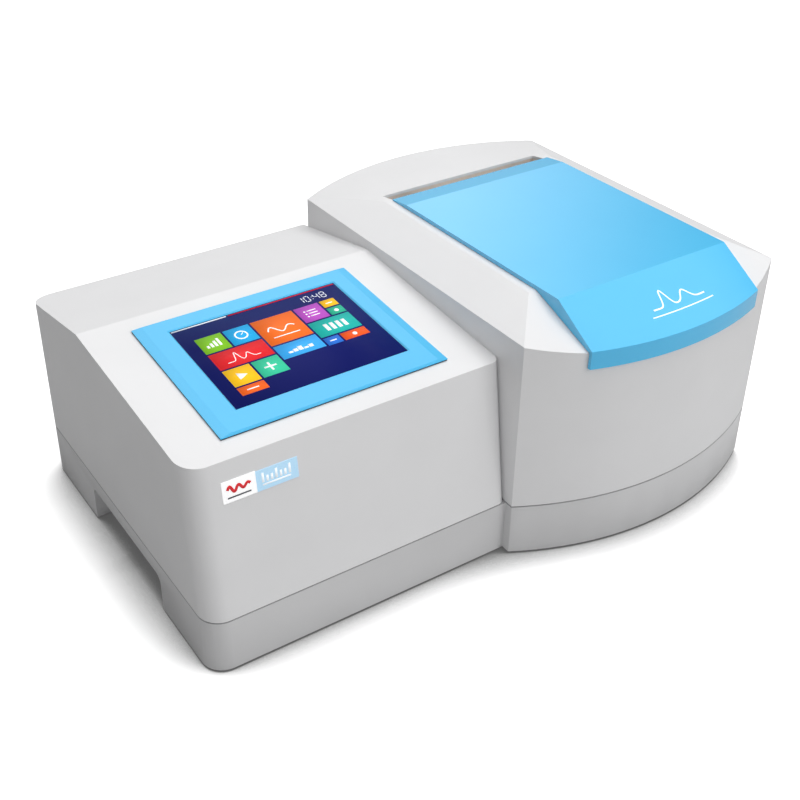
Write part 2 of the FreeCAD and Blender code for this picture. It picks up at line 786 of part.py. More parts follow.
def deuteriumLamp():
    x = lampX0 + 24.0
    y = 60.0
    z = benchTopZ + 2.5
    base = rod(x, y, z, 15.0, 12.0, Z)
    bulb = rod(x, y, z + 12, 13.0, 40.0, Z)
    dome = Part.makeSphere(13.0, V(x, y, z + 52))
    return joined([base, bulb, dome])


def halogenLamp():
    x = lampX0 + 24.0
    y = 115.0
    z = benchTopZ + 2.5
    base = box(x - 9, x + 9, y - 7, y + 7, z, z + 22)
    bulb = rod(x, y, z + 22, 5.5, 18.0, Z)
    tip = Part.makeSphere(5.5, V(x, y, z + 40))
    return joined([base, bulb, tip])


mirrorX = lampX1 - 24.0


def sourceMirror():
    """Flat mirror on a turning hub that picks the lamp."""
    z = benchTopZ + 2.6
    hub = rod(mirrorX, lampY, z, 9.0, 18.0, Z)
    plate = box(-1.5, 1.5, -15, 15, z + 18, beamZ + 16)
    back = box(1.5, 4.5, -8, 8, z + 18, beamZ + 6)
    out = plate.fuse(back)
    out.rotate(V(0, 0, 0), Z, 45)
    out.translate(V(mirrorX, lampY, 0))
    return joined([hub, out])


filterX = lampX1 + 6.0
filterR = 22.0
filterRing = 14.5
filterSeat = 5.5


def filterWheel():
    """Disc with a ring of filter seats on a stub axle."""
    z = beamZ - filterRing
    disc = rod(filterX, lampY, z, filterR, 4.0, X)
    hub = rod(filterX - 3, lampY, z, 5.0, 10.0, X)
    wheel = disc.fuse(hub)
    for i in range(6):
        a = math.radians(90 + 60 * i)
        y = lampY + filterRing * math.cos(a)
        wheel = wheel.cut(rod(filterX - 2, y, z + filterRing * math.sin(a), filterSeat, 8.0, X))
    wheel = wheel.cut(rod(filterX - 5, lampY, z, filterPin + runningClearance, 20.0, X))
    return wheel.removeSplitter()


def filterGlasses():
    z = beamZ - filterRing
    out = []
    for i in range(1, 6):
        a = math.radians(90 + 60 * i)
        y = lampY + filterRing * math.cos(a)
        out.append(rod(filterX + 1, y, z + filterRing * math.sin(a), filterSeat, 2.0, X))
    return group(out)


def beamTube():
    """Lens tube from the monochromator through both housing walls to the well's window."""
    x0 = monoX1
    x1 = wellX0 - wellWall
    tube = ring(x0, beamY, beamZ, 11.0, 8.5, x1 - x0, X)
    flange = ring(x0, beamY, beamZ, 15.0, 8.5, 3.0, X)
    rib = ring(x1 - 4, beamY, beamZ, 14.0, 8.5, 4.0, X)
    foot = box(10, 30, beamY - 6, beamY + 6, benchTopZ, beamZ - 9)
    return joined([tube, flange, rib, foot.cut(rod(0, beamY, beamZ, 10.0, 60, X))])


def detectorModule():
    x0 = wellX1 + wellWall
    body = roundedBox(x0 + 8, halfWidth - 12, beamY - 32, beamY + 32, benchTopZ, benchTopZ + 74, 3.0)
    nose = ring(x0, beamY, beamZ, 13.0, 8.0, 8.0, X)
    return body.cut(rod(x0 + 6, beamY, beamZ, 8.0, 20, X)).fuse(nose).removeSplitter()


def powerSupply():
    z0 = footHeight + trayFloor
    x0 = -halfWidth + 45
    case = box(x0, x0 + 80, 10, 130, z0, z0 + 42)
    holes = [rod(x0 + 5 + 10 * i, 22 + 12 * j, z0 + 38, 2.5, 10, Z) for i in range(8) for j in range(2)]
    return case.cut(Part.makeCompound(holes))


def mainBoard():
    z0 = footHeight + trayFloor
    board = box(-140, -20, -110, 90, z0 + 8, z0 + 9.6)
    legs = [rod(x, y, z0, 3.0, 8.0, Z) for x in (-134, -26) for y in (-104, 84)]
    chips = [box(-120 + 32 * i, -100 + 32 * i, -60 + 40 * j, -40 + 40 * j, z0 + 9.6, z0 + 12.6)
             for i in range(3) for j in range(3)]
    return joined([board] + legs + chips)


# rear panel

rearX0 = -halfWidth + 27.0
rearX1 = -24.0
rearZ0 = 64.0
rearZ1 = 178.0
rearThick = 1.5


def roundedRear(x0, x1, z0, z1, y0, y1, r):
    k = 1 - math.sqrt(0.5)
    e = [
        Part.makeLine(V(x0 + r, y0, z0), V(x1 - r, y0, z0)),
        Part.Arc(V(x1 - r, y0, z0), V(x1 - r * k, y0, z0 + r * k), V(x1, y0, z0 + r)).toShape(),
        Part.makeLine(V(x1, y0, z0 + r), V(x1, y0, z1 - r)),
        Part.Arc(V(x1, y0, z1 - r), V(x1 - r * k, y0, z1 - r * k), V(x1 - r, y0, z1)).toShape(),
        Part.makeLine(V(x1 - r, y0, z1), V(x0 + r, y0, z1)),
        Part.Arc(V(x0 + r, y0, z1), V(x0 + r * k, y0, z1 - r * k), V(x0, y0, z1 - r)).toShape(),
        Part.makeLine(V(x0, y0, z1 - r), V(x0, y0, z0 + r)),
        Part.Arc(V(x0, y0, z0 + r), V(x0 + r * k, y0, z0 + r * k), V(x0 + r, y0, z0)).toShape(),
    ]
    return Part.Face(Part.Wire(e)).extrude(V(0, y1 - y0, 0))


inletX = -60.0
rockerX = -104.0
fuseX = -140.0
lowerZ = 92.0
usbX = -60.0
usbZs = (126.0, 142.0)
serialX = -112.0
serialZ = 134.0
fanX = rearX0 + 46.0
fanZ = 130.0
fanR = 37.0
rearY = consoleBackY - 1.0


def rearPanel():
    inside = consoleBackY - wall
    plate = roundedRear(rearX0, rearX1, rearZ0, rearZ1, inside, rearY, 4.0)
    flange = roundedRear(rearX0 - 5, rearX1 + 5, rearZ0 - 5, rearZ1 + 5, inside - 1.5, inside, 5.0)
    plate = plate.fuse(flange)
    plate = plate.cut(box(rearX0 + 2, rearX1 - 2, consoleBackY - 10, rearY - rearThick, rearZ0 + 2, rearZ1 - 2))
    for x, z, w, h in ((inletX, lowerZ, 27.0, 20.0), (rockerX, lowerZ, 21.0, 27.0), (fuseX, lowerZ, 16.0, 16.0),
                       (usbX, usbZs[0], 14.4, 7.0), (usbX, usbZs[1], 14.4, 7.0), (serialX, serialZ, 19.0, 10.5)):
        plate = plate.cut(box(x - w / 2, x + w / 2, rearY - 10, rearY + 5, z - h / 2, z + h / 2))
    return plate.cut(rod(fanX, rearY - 10, fanZ, fanR, 20, Y)).removeSplitter()


def powerInlet():
    """Three-pole mains inlet: flanged shroud with a hollow and three flat blades."""
    y1 = rearY
    flange = roundedRear(inletX - 16, inletX + 16, lowerZ - 12.5, lowerZ + 12.5, y1, y1 + 2.0, 3.0)
    body = box(inletX - 13.4, inletX + 13.4, y1 - 26, y1, lowerZ - 9.9, lowerZ + 9.9)
    shroud = flange.fuse(body)
    pts = [(inletX - 12, lowerZ - 8), (inletX + 12, lowerZ - 8), (inletX + 12, lowerZ + 3),
           (inletX + 7.5, lowerZ + 8), (inletX - 7.5, lowerZ + 8), (inletX - 12, lowerZ + 3)]
    shroud = shroud.cut(prismY(pts, y1 - 18, y1 + 5))
    blades = [box(inletX + dx - 1, inletX + dx + 1, y1 - 19, y1 - 4, lowerZ + dz - 2, lowerZ + dz + 2)
              for dx, dz in ((-7, -3), (7, -3), (0, 3))]
    return joined([shroud] + blades)


def rockerFrame():
    y1 = rearY
    flange = box(rockerX - 12.5, rockerX + 12.5, y1, y1 + 1.6, lowerZ - 15.5, lowerZ + 15.5)
    body = box(rockerX - 10.4, rockerX + 10.4, y1 - 18, y1, lowerZ - 13.4, lowerZ + 13.4)
    frame = flange.fuse(body).removeSplitter()
    return frame.cut(box(rockerX - 8.4, rockerX + 8.4, y1 - 14, y1 + 5, lowerZ - 11.6, lowerZ + 11.6))


def powerRocker():
    """Rocker key with a hollow-ground face, at rest in its off position."""
    y1 = rearY
    r = 30.0
    key = box(rockerX - 8.0, rockerX + 8.0, y1 - 7.5, y1 + 4, lowerZ - 10.6, lowerZ + 10.6)
    key = key.cut(rod(rockerX - 20, y1 + 1.2 + r, lowerZ, r, 40, X))
    key = key.common(rod(rockerX - 20, y1 - 3.0, lowerZ, 11.2, 40, X))
    key.rotate(V(rockerX, y1 - 3.0, lowerZ), X, rockerTilt)
    return key


rockerTilt = 7.0


def fuseHolder():
    y1 = rearY
    flange = box(fuseX - 10, fuseX + 10, y1, y1 + 1.6, lowerZ - 10, lowerZ + 10)
    body = box(fuseX - 7.9, fuseX + 7.9, y1 - 30, y1, lowerZ - 7.9, lowerZ + 7.9)
    half = drawerHalf + drawerGap
    hollow = box(fuseX - half, fuseX + half, y1 - 28, y1 + 5, lowerZ - half, lowerZ + half)
    return flange.fuse(body).removeSplitter().cut(hollow)


drawerHalf = 5.5
drawerGap = 0.1


def fuseDrawer():
    """Small drawer with a fuse bed and a finger edge."""
    y1 = rearY
    half = drawerHalf
    tray = box(fuseX - half, fuseX + half, y1 - 26, y1 + 1.6, lowerZ - half, lowerZ + half)
    tray = tray.cut(box(fuseX - 4, fuseX + 4, y1 - 24, y1 - 3, lowerZ - 3, lowerZ + 8))
    face = box(fuseX - 7.5, fuseX + 7.5, y1 + 1.6, y1 + 3.4, lowerZ - 7.5, lowerZ + 7.5)
    grip = box(fuseX - 4, fuseX + 4, y1 + 2.4, y1 + 6, lowerZ + 5.2, lowerZ + 9)
    return tray.fuse(face).removeSplitter().cut(grip)


def usbSockets():
    out = []
    for z in usbZs:
        shell = box(usbX - 7.1, usbX + 7.1, rearY - 14, rearY + 0.6, z - 3.4, z + 3.4)
        shell = shell.cut(box(usbX - 6.5, usbX + 6.5, rearY - 12, rearY + 2, z - 2.8, z + 2.8))
        tongueBar = box(usbX - 5.6, usbX + 5.6, rearY - 13, rearY - 2.5, z + 0.7, z + 2.4)
        out.append(joined([shell, tongueBar]))
    return group(out)


def serialSocket():
    plate = box(serialX - 15.4, serialX + 15.4, rearY, rearY + 1.0, serialZ - 6.2, serialZ + 6.2)
    body = box(serialX - 9.4, serialX + 9.4, rearY - 10, rearY, serialZ - 5.1, serialZ + 5.1)
    pts = [(serialX - 8.6, serialZ + 4.2), (serialX + 8.6, serialZ + 4.2),
           (serialX + 7.2, serialZ - 4.2), (serialX - 7.2, serialZ - 4.2)]
    nose = prismY(pts, rearY, rearY + 5.5)
    sock = joined([plate, body, nose])
    holes = [rod(serialX - 5.6 + 2.8 * i, rearY + 2, serialZ + 1.6, 0.6, 6, Y) for i in range(5)]
    holes += [rod(serialX - 4.2 + 2.8 * i, rearY + 2, serialZ - 1.6, 0.6, 6, Y) for i in range(4)]
    posts = [rod(serialX + s * 12.5, rearY + 1.0, serialZ, 2.6, 4.0, Y) for s in (-1, 1)]
    return joined([sock.cut(Part.makeCompound(holes))] + posts)


def fanFrame():
    half = 40.0
    y1 = rearY - rearThick
    frame = box(fanX - half, fanX + half, y1 - 25, y1, fanZ - half - 0.0, fanZ + half)
    frame = frame.cut(rod(fanX, y1 - 30, fanZ, 38.0, 40, Y))
    hub = rod(fanX, y1 - 25, fanZ, 15.0, 3.0, Y)
    struts = [box(fanX - 38.5, fanX + 38.5, y1 - 25, y1 - 23, fanZ - 2, fanZ + 2),
              box(fanX - 2, fanX + 2, y1 - 25, y1 - 23, fanZ - 38.5, fanZ + 38.5)]
    pin = rod(fanX, y1 - 22, fanZ, 1.5, 12.0, Y)
    return joined([frame, hub] + struts + [pin])


fanBlades = 7


def fanRotor():
    """Cup hub with swept blades, each a slab twisted across the stream."""
    y1 = rearY - rearThick
    hub = rod(fanX, y1 - 21.5, fanZ, 15.0, 18.0, Y)
    blades = []
    for i in range(fanBlades):
        blade = box(13.0, 36.0, -9.0, 9.0, -0.8, 0.8)
        blade.rotate(V(0, 0, 0), X, 38)
        blade.translate(V(0, -12.5, 0))
        blade.rotate(V(0, 0, 0), Y, 360.0 / fanBlades * i)
        blade.translate(V(fanX, y1, fanZ))
        blades.append(blade)
    wheel = joined([hub] + blades)
    keep = rod(fanX, y1 - 21.5, fanZ, 36.5, 18.0, Y)
    return wheel.common(keep).cut(rod(fanX, y1 - 23, fanZ, 1.5 + runningClearance, 14.0, Y))


def fanGrille():
    """Rings and spokes pressed from one sheet."""
    rings = [ring(fanX, rearY, fanZ, r, r - 2.0, 1.6, Y) for r in (39.5, 31.5, 23.5, 15.5)]
    spokes = [box(fanX - 38.5, fanX + 38.5, rearY, rearY + 1.6, fanZ - 1.5, fanZ + 1.5),
              box(fanX - 1.5, fanX + 1.5, rearY, rearY + 1.6, fanZ - 38.5, fanZ + 38.5)]
    hub = rod(fanX, rearY, fanZ, 8.0, 1.6, Y)
    ears = []
    for sx in (-1, 1):
        for sz in (-1, 1):
            x = fanX + sx * 30
            z = fanZ + sz * 30
            ears.append(rod(fanX + sx * 33.0, rearY, fanZ + sz * 33.0, 5.0, 1.6, Y))
            ears.append(box(x - 4, x + 4, rearY, rearY + 1.6, z - 4, z + 4))
    return joined(rings + spokes + [hub] + ears)


def panelScrews():
    spots = [(fanX + sx * 33.0, fanZ + sz * 33.0, rearY + 1.6) for sx in (-1, 1) for sz in (-1, 1)]
    spots += [(x, z, rearY) for x in (rearX0 + 7, rearX1 - 7) for z in (rearZ0 + 7, rearZ1 - 7)]
    spots += [(-165.0, rearZ0 + 7, rearY), (-165.0, rearZ1 - 7, rearY)]
    return group([screwHead(x, y, z, Y, 2.8, 1.6) for x, z, y in spots])


def baseScrews():
    spots = [(-235, -140), (-235, 160), (-20, -140), (-20, 160), (60, -160), (60, 160), (240, -150), (240, 150)]
    return group([screwHead(x, y, footHeight, V(0, 0, -1), 3.2, 1.8) for x, y in spots])


PARTS = [
    ("base_tray", baseTray), ("console_shell", consoleShell), ("compartment_shell", bayShell),
    ("rubber_feet", rubberFeet), ("touch_bezel", touchBezel), ("touch_glass", touchGlass),
    ("screen_module", screenModule),
    ("label_white", lambda: facePlate(labelX0, labelMid, labelZ0, labelZ1, labelThick)),
    ("label_blue", lambda: facePlate(labelMid, labelX1, labelZ0, labelZ1 - 0.8, labelThick)),
    ("sample_well", sampleWell), ("beam_windows", beamWindows), ("window_rings", windowRings),
    ("guide_rods", guideRods), ("lead_screw", leadScrew), ("changer_motor", changerMotor),
    ("carriage_sled", carriageSled), ("cuvette_holder", cuvetteHolder), ("holder_screws", holderScrews),
    ("hinge_trough", hingeTrough), ("hinge_rod", hingeRod), ("hinge_brackets", hingeBrackets),
    ("lid_cover", lidCover), ("lid_arms", lidArms), ("lid_liner", lidLiner), ("lid_seal", lidSeal),
    ("liner_screws", linerScrews),
    ("optical_bench", opticalBench), ("bench_posts", benchPosts), ("monochromator_case", monochromatorCase),
    ("monochromator_cover", monochromatorCover), ("focusing_mirrors", focusingMirrors),
    ("grating_table", gratingTable), ("diffraction_grating", diffractionGrating), ("lamp_house", lampHouse),
    ("deuterium_lamp", deuteriumLamp), ("halogen_lamp", halogenLamp), ("source_mirror", sourceMirror),
    ("filter_wheel", filterWheel), ("filter_glasses", filterGlasses), ("beam_tube", beamTube),
    ("detector_module", detectorModule), ("power_supply", powerSupply), ("main_board", mainBoard),
    ("rear_panel", rearPanel), ("power_inlet", powerInlet), ("rocker_frame", rockerFrame),
    ("power_rocker", powerRocker), ("fuse_holder", fuseHolder), ("fuse_drawer", fuseDrawer),
    ("usb_sockets", usbSockets), ("serial_socket", serialSocket), ("fan_frame", fanFrame),
    ("fan_rotor", fanRotor), ("fan_grille", fanGrille), ("panel_screws", panelScrews),
    ("base_screws", baseScrews),
]

for name, make in PARTS:
    shape = make()
    save(name, shape)
    box_ = shape.BoundBox
    print("%-20s solids %2d valid %s vol %9.0f  x %.1f..%.1f y %.1f..%.1f z %.1f..%.1f" % (
        name, len(shape.Solids), shape.isValid(), shape.Volume,
        box_.XMin, box_.XMax, box_.YMin, box_.YMax, box_.ZMin, box_.ZMax))
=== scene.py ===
import json
import math

import bmesh
import bpy
import numpy as np
from mathutils import Matrix, Vector

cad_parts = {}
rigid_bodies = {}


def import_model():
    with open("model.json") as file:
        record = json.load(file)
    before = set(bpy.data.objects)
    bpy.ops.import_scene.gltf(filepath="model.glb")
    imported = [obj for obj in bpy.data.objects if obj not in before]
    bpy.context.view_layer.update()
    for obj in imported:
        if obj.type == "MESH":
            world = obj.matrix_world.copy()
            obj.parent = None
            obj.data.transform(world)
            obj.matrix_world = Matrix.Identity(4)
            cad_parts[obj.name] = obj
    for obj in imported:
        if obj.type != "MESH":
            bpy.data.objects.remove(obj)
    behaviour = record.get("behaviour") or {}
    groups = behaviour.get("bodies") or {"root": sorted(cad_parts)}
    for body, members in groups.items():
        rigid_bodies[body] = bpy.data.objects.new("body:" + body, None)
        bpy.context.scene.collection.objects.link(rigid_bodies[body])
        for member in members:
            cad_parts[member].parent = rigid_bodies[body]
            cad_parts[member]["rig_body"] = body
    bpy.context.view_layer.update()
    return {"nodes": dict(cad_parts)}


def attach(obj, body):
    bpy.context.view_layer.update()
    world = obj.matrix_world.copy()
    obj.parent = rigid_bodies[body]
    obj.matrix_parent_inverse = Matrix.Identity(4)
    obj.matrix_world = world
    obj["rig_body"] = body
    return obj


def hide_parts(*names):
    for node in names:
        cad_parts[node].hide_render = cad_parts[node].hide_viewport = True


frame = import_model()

nodes = frame["nodes"]
mm = 0.001
mergeGap, cadGap, thinnest = 0.02, 0.001, 0.002  # mm: points this near are one, edges this short go
flatAngle = 0.4  # degrees: faces of a CAD node that meet flatter than this are one
print("frame loaded:", len(nodes), "nodes")

# Every surface below is worked out in millimetres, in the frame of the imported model:
# X across the front, Y to the back, Z up from the table.


# mesh helpers

def points(x, y, z):
    # three arrays of one shape, or numbers, as an array of points
    return np.stack(np.broadcast_arrays(x, y, z), -1).astype(float)


def ruled(low, high, rows=1):
    # straight lines from each point of one curve to the same point of the other
    v = np.linspace(0, 1, rows + 1)[:, None, None]
    return low[None] * (1 - v) + high[None] * v


def gridFaces(rows, cols, first=0):
    # the quads between neighbouring rows and columns of a grid of points
    a = (np.arange(rows - 1)[:, None] * cols + np.arange(cols - 1)[None, :]).reshape(-1) + first
    return np.stack([a, a + 1, a + cols + 1, a + cols], -1)


def weld(name, patches, roofUp=False):
    # joins grids of points where they meet; on an open shell, roofUp turns the highest face upwards
    faces, start = [], 0
    for patch in patches:
        rows, cols = patch.shape[:2]
        faces.append(gridFaces(rows, cols, start))
        start += rows * cols
    verts = np.concatenate([p.reshape(-1, 3) for p in patches]) * mm
    mesh = bpy.data.meshes.new(name)
    mesh.from_pydata(verts.tolist(), [], np.concatenate(faces).tolist())
    bm = bmesh.new()
    bm.from_mesh(mesh)
    bmesh.ops.remove_doubles(bm, verts=bm.verts, dist=mergeGap * mm)
    bmesh.ops.dissolve_degenerate(bm, edges=bm.edges, dist=thinnest * mm)
    bmesh.ops.recalc_face_normals(bm, faces=bm.faces)
    if roofUp and max(bm.faces, key=lambda f: f.calc_center_median().z).normal.z < 0:
        bmesh.ops.reverse_faces(bm, faces=bm.faces)
    bm.to_mesh(mesh)
    bm.free()
    return mesh


def place(name, mesh, mat, body="housing", replaced=()):
    # puts a mesh into the scene as one finished piece
    obj = bpy.data.objects.new(name, mesh)
    bpy.context.scene.collection.objects.link(obj)
    mesh.polygons.foreach_set("use_smooth", [True] * len(mesh.polygons))
    mesh.materials.clear()
    mesh.materials.append(mat)
    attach(obj, body)
    if replaced:
        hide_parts(*replaced)
    return obj


def finish(obj, bevel, wall=None, segments=3, angle=12):
    # wall thickness inwards, then rounded edges where faces meet at more than the angle
    if wall:
        mod = obj.modifiers.new("wall", "SOLIDIFY")
        mod.thickness = wall * mm
        mod.offset = -1
        mod.use_even_offset = True
    mod = obj.modifiers.new("edge", "BEVEL")
    mod.width = bevel * mm
    mod.segments = segments
    mod.limit_method = "ANGLE"
    mod.angle_limit = math.radians(angle)
    mod.harden_normals = True


def softened(node, name, mat, bevel):
    # a merged copy of a CAD node with its sharp edges rounded; it stands for the node
    mesh = nodes[node].data.copy()
    mesh.name = name
    bm = bmesh.new()
    bm.from_mesh(mesh)
    bmesh.ops.remove_doubles(bm, verts=bm.verts, dist=cadGap * mm)
    bmesh.ops.dissolve_limit(bm, angle_limit=math.radians(flatAngle), verts=bm.verts, edges=bm.edges)
    bm.to_mesh(mesh)
    bm.free()
    obj = place(name, mesh, mat, nodes[node]["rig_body"], (node,))
    finish(obj, bevel, segments=2, angle=28)


# material helpers

noiseSpan = {"From Min": 0.3, "From Max": 0.7}  # where most of a noise texture's values lie


def linear(hexCode):
    # sRGB hex to linear light, with alpha 1
    c = np.array([int(hexCode[i:i + 2], 16) for i in (1, 3, 5)]) / 255.0
    c = np.where(c <= 0.04045, c / 12.92, ((c + 0.055) / 1.055) ** 2.4)
    return (*c.tolist(), 1.0)


def addNode(tree, kind, inputs=None, **settings):
    # one node: inputs are numbers or the sockets to link from, settings are its attributes
    node = tree.nodes.new(kind)
    for key, value in settings.items():
        setattr(node, key, value)
    for key, value in (inputs or {}).items():
        if isinstance(value, bpy.types.NodeSocket):
            tree.links.new(value, node.inputs[key])
        else:
            node.inputs[key].default_value = value
    return node


def startMaterial(name):
    # a material with nothing but its output and the piece's own coordinates
    mat = bpy.data.materials.new(name)
    mat.use_nodes = True
    tree = mat.node_tree
    tree.nodes.clear()
    out = addNode(tree, "ShaderNodeOutputMaterial")
    coords = addNode(tree, "ShaderNodeTexCoord")
    return mat, tree, out, coords.outputs["Object"]


def twoShades(tree, pattern, hexCode, hexOther):
    # how strong the pattern is, from 0 to 1, and the colour that far from one shade to the other
    share = addNode(tree, "ShaderNodeMapRange", {"Value": pattern, **noiseSpan}).outputs["Result"]
    colour = addNode(tree, "ShaderNodeMix", {
        "Factor": share, 6: linear(hexCode), 7: linear(hexOther)}, data_type="RGBA")
    return share, colour.outputs[2]


# materials, each named for the real one

def mouldedAbs(name, hexCode, hexCloud, grain=0.9, roughness=0.42, bump=0.10, coat=0.0, uneven=0.06):
    # ABS moulded in a spark-eroded tool: fine pebble grain under a soft sheen, faintly cloudy;
    # the real grain is about 0.1 mm and is drawn coarser so that it shows
    mat, tree, out, coords = startMaterial(name)
    cloud = addNode(tree, "ShaderNodeTexNoise", {"Vector": coords, "Scale": 1 / (70 * mm), "Detail": 3.0})
    colour = twoShades(tree, cloud.outputs["Fac"], hexCode, hexCloud)[1]
    pebble = addNode(tree, "ShaderNodeTexNoise", {"Vector": coords, "Scale": 1 / (grain * mm), "Detail": 2.0})
    rough = addNode(tree, "ShaderNodeMapRange", {
        "Value": pebble.outputs["Fac"], **noiseSpan,
        "To Min": roughness - uneven, "To Max": roughness + uneven})
    relief = addNode(tree, "ShaderNodeBump", {
        "Height": pebble.outputs["Fac"], "Strength": bump, "Distance": 0.06 * mm})
    shader = addNode(tree, "ShaderNodeBsdfPrincipled", {
        "Base Color": colour, "Roughness": rough.outputs["Result"], "IOR": 1.53,
        "Normal": relief.outputs["Normal"], "Coat Weight": coat, "Coat Roughness": 0.16})
    tree.links.new(shader.outputs[0], out.inputs["Surface"])
    return mat


def coatedMetal(name, hexCode, hexCloud, grain=0.6, roughness=0.45):
    # powder coat: an orange-peel surface over sheet steel
    mat, tree, out, coords = startMaterial(name)
    cloud = addNode(tree, "ShaderNodeTexNoise", {"Vector": coords, "Scale": 1 / (30 * mm)})
    colour = twoShades(tree, cloud.outputs["Fac"], hexCode, hexCloud)[1]
    peel = addNode(tree, "ShaderNodeTexVoronoi", {
        "Vector": coords, "Scale": 1 / (grain * mm)}, feature="SMOOTH_F1")
    rough = addNode(tree, "ShaderNodeMapRange", {
        "Value": peel.outputs["Distance"], "From Max": 0.8,
        "To Min": roughness - 0.08, "To Max": roughness + 0.08})
    relief = addNode(tree, "ShaderNodeBump", {
        "Height": peel.outputs["Distance"], "Strength": 0.2, "Distance": 0.05 * mm})
    shader = addNode(tree, "ShaderNodeBsdfPrincipled", {
        "Base Color": colour, "Roughness": rough.outputs["Result"], "Normal": relief.outputs["Normal"]})
    tree.links.new(shader.outputs[0], out.inputs["Surface"])
    return mat


def drawnMetal(name, hexCode, hexWorn, roughness=0.3, along=(1, 1, 40), streak=1.2):
    # ground, brushed or turned metal: fine streaks run the way that the tool went
    mat, tree, out, coords = startMaterial(name)
    stretch = addNode(tree, "ShaderNodeMapping", {"Vector": coords, "Scale": along})
    lines = addNode(tree, "ShaderNodeTexNoise", {
        "Vector": stretch.outputs[0], "Scale": 1 / (streak * 10 * mm), "Detail": 4.0})
    share, colour = twoShades(tree, lines.outputs["Fac"], hexCode, hexWorn)
    rough = addNode(tree, "ShaderNodeMapRange", {
        "Value": share, "To Min": roughness - 0.08, "To Max": roughness + 0.1})
    relief = addNode(tree, "ShaderNodeBump", {
        "Height": lines.outputs["Fac"], "Strength": 0.15, "Distance": 0.03 * mm})
    shader = addNode(tree, "ShaderNodeBsdfPrincipled", {
        "Base Color": colour, "Metallic": 1.0, "Roughness": rough.outputs["Result"],
        "Normal": relief.outputs["Normal"]})
    tree.links.new(shader.outputs[0], out.inputs["Surface"])
    return mat


def clearGlass(name, hexCode, roughness=0.03, ior=1.46):
    # polished glass with a trace of dust on it
    mat, tree, out, coords = startMaterial(name)
    dust = addNode(tree, "ShaderNodeTexNoise", {"Vector": coords, "Scale": 1 / (4 * mm), "Detail": 4.0})
    rough = addNode(tree, "ShaderNodeMapRange", {
        "Value": dust.outputs["Fac"], **noiseSpan, "To Min": roughness, "To Max": roughness + 0.08})
    shader = addNode(tree, "ShaderNodeBsdfPrincipled", {
        "Base Color": linear(hexCode), "Roughness": rough.outputs["Result"],
        "IOR": ior, "Transmission Weight": 0.9})
    tree.links.new(shader.outputs[0], out.inputs["Surface"])
    return mat


def softRubber(name, hexCode, hexCloud, grain=0.8):
    # moulded rubber or foam: matt, open-pored, greyed by dust
    mat, tree, out, coords = startMaterial(name)
    pores = addNode(tree, "ShaderNodeTexNoise", {"Vector": coords, "Scale": 1 / (grain * mm), "Detail": 5.0})
    share, colour = twoShades(tree, pores.outputs["Fac"], hexCode, hexCloud)
    rough = addNode(tree, "ShaderNodeMapRange", {"Value": share, "To Min": 0.75, "To Max": 0.95})
    relief = addNode(tree, "ShaderNodeBump", {
        "Height": pores.outputs["Fac"], "Strength": 0.5, "Distance": 0.15 * mm})
    shader = addNode(tree, "ShaderNodeBsdfPrincipled", {
        "Base Color": colour, "Roughness": rough.outputs["Result"], "Normal": relief.outputs["Normal"]})
    tree.links.new(shader.outputs[0], out.inputs["Surface"])
    return mat


def trayWithPaintedSeamShade(name, hexCode, hexCloud, hexSeamShade, seamMm):
    # the tray's textured ABS, and above its top edge a darker strip: painted shade standing for the shadow in
    # the seam
    mat = mouldedAbs(name, hexCode, hexCloud)
    tree = mat.node_tree
    shader = next(n for n in tree.nodes if n.type == "BSDF_PRINCIPLED")
    plastic = shader.inputs["Base Color"].links[0].from_socket
    coords = next(n for n in tree.nodes if n.type == "TEX_COORD").outputs["Object"]
    height = addNode(tree, "ShaderNodeSeparateXYZ", {0: coords})
    above = addNode(tree, "ShaderNodeMath", {
        0: height.outputs["Z"], 1: seamMm * mm}, operation="GREATER_THAN")
    colour = addNode(tree, "ShaderNodeMix", {
        "Factor": above.outputs[0], 6: plastic, 7: linear(hexSeamShade)}, data_type="RGBA")
    tree.links.new(colour.outputs[2], shader.inputs["Base Color"])
    return mat


def tintedLayer(name, grain, shades, roughness, bump, glow, specular=0.5):
    # colours carried by the mesh itself, unevenly strong at the scale of the grain, and glowing a little: the
    # pixels of a lit display under its anti-glare film, or satin ink printed through a screen's mesh, whose
    # glow is painted light
    mat, tree, out, coords = startMaterial(name)
    tint = addNode(tree, "ShaderNodeAttribute", attribute_name="tint")
    weave = addNode(tree, "ShaderNodeTexNoise", {"Vector": coords, "Scale": 1 / (grain * mm), "Detail": 1.0})
    even = addNode(tree, "ShaderNodeMapRange", {
        "Value": weave.outputs["Fac"], "To Min": shades[0], "To Max": shades[1]})
    colour = addNode(tree, "ShaderNodeMix", {
        "Factor": 1.0, 6: tint.outputs["Color"], 7: even.outputs["Result"]},
        data_type="RGBA", blend_type="MULTIPLY")
    rough = addNode(tree, "ShaderNodeMapRange", {
        "Value": weave.outputs["Fac"], "To Min": roughness[0], "To Max": roughness[1]})
    relief = addNode(tree, "ShaderNodeBump", {
        "Height": weave.outputs["Fac"], "Strength": bump, "Distance": 0.02 * mm})
    shader = addNode(tree, "ShaderNodeBsdfPrincipled", {
        "Base Color": colour.outputs[2], "Roughness": rough.outputs["Result"],
        "Normal": relief.outputs["Normal"], "Specular IOR Level": specular,
        "Emission Color": colour.outputs[2], "Emission Strength": glow})
    tree.links.new(shader.outputs[0], out.inputs["Surface"])
    return mat


def filmWithPaintedGlow(name, hexCode, hexCloud, glow):
    # printed label film with a painted glow: its own colour is also given out as light, so it shows brighter
    # than the light on it would make it
    mat = mouldedAbs(name, hexCode, hexCloud, roughness=0.3, bump=0.02)
    shader = next(n for n in mat.node_tree.nodes if n.type == "BSDF_PRINCIPLED")
    mat.node_tree.links.new(shader.inputs["Base Color"].links[0].from_socket, shader.inputs["Emission Color"])
    shader.inputs["Emission Strength"].default_value = glow
    return mat


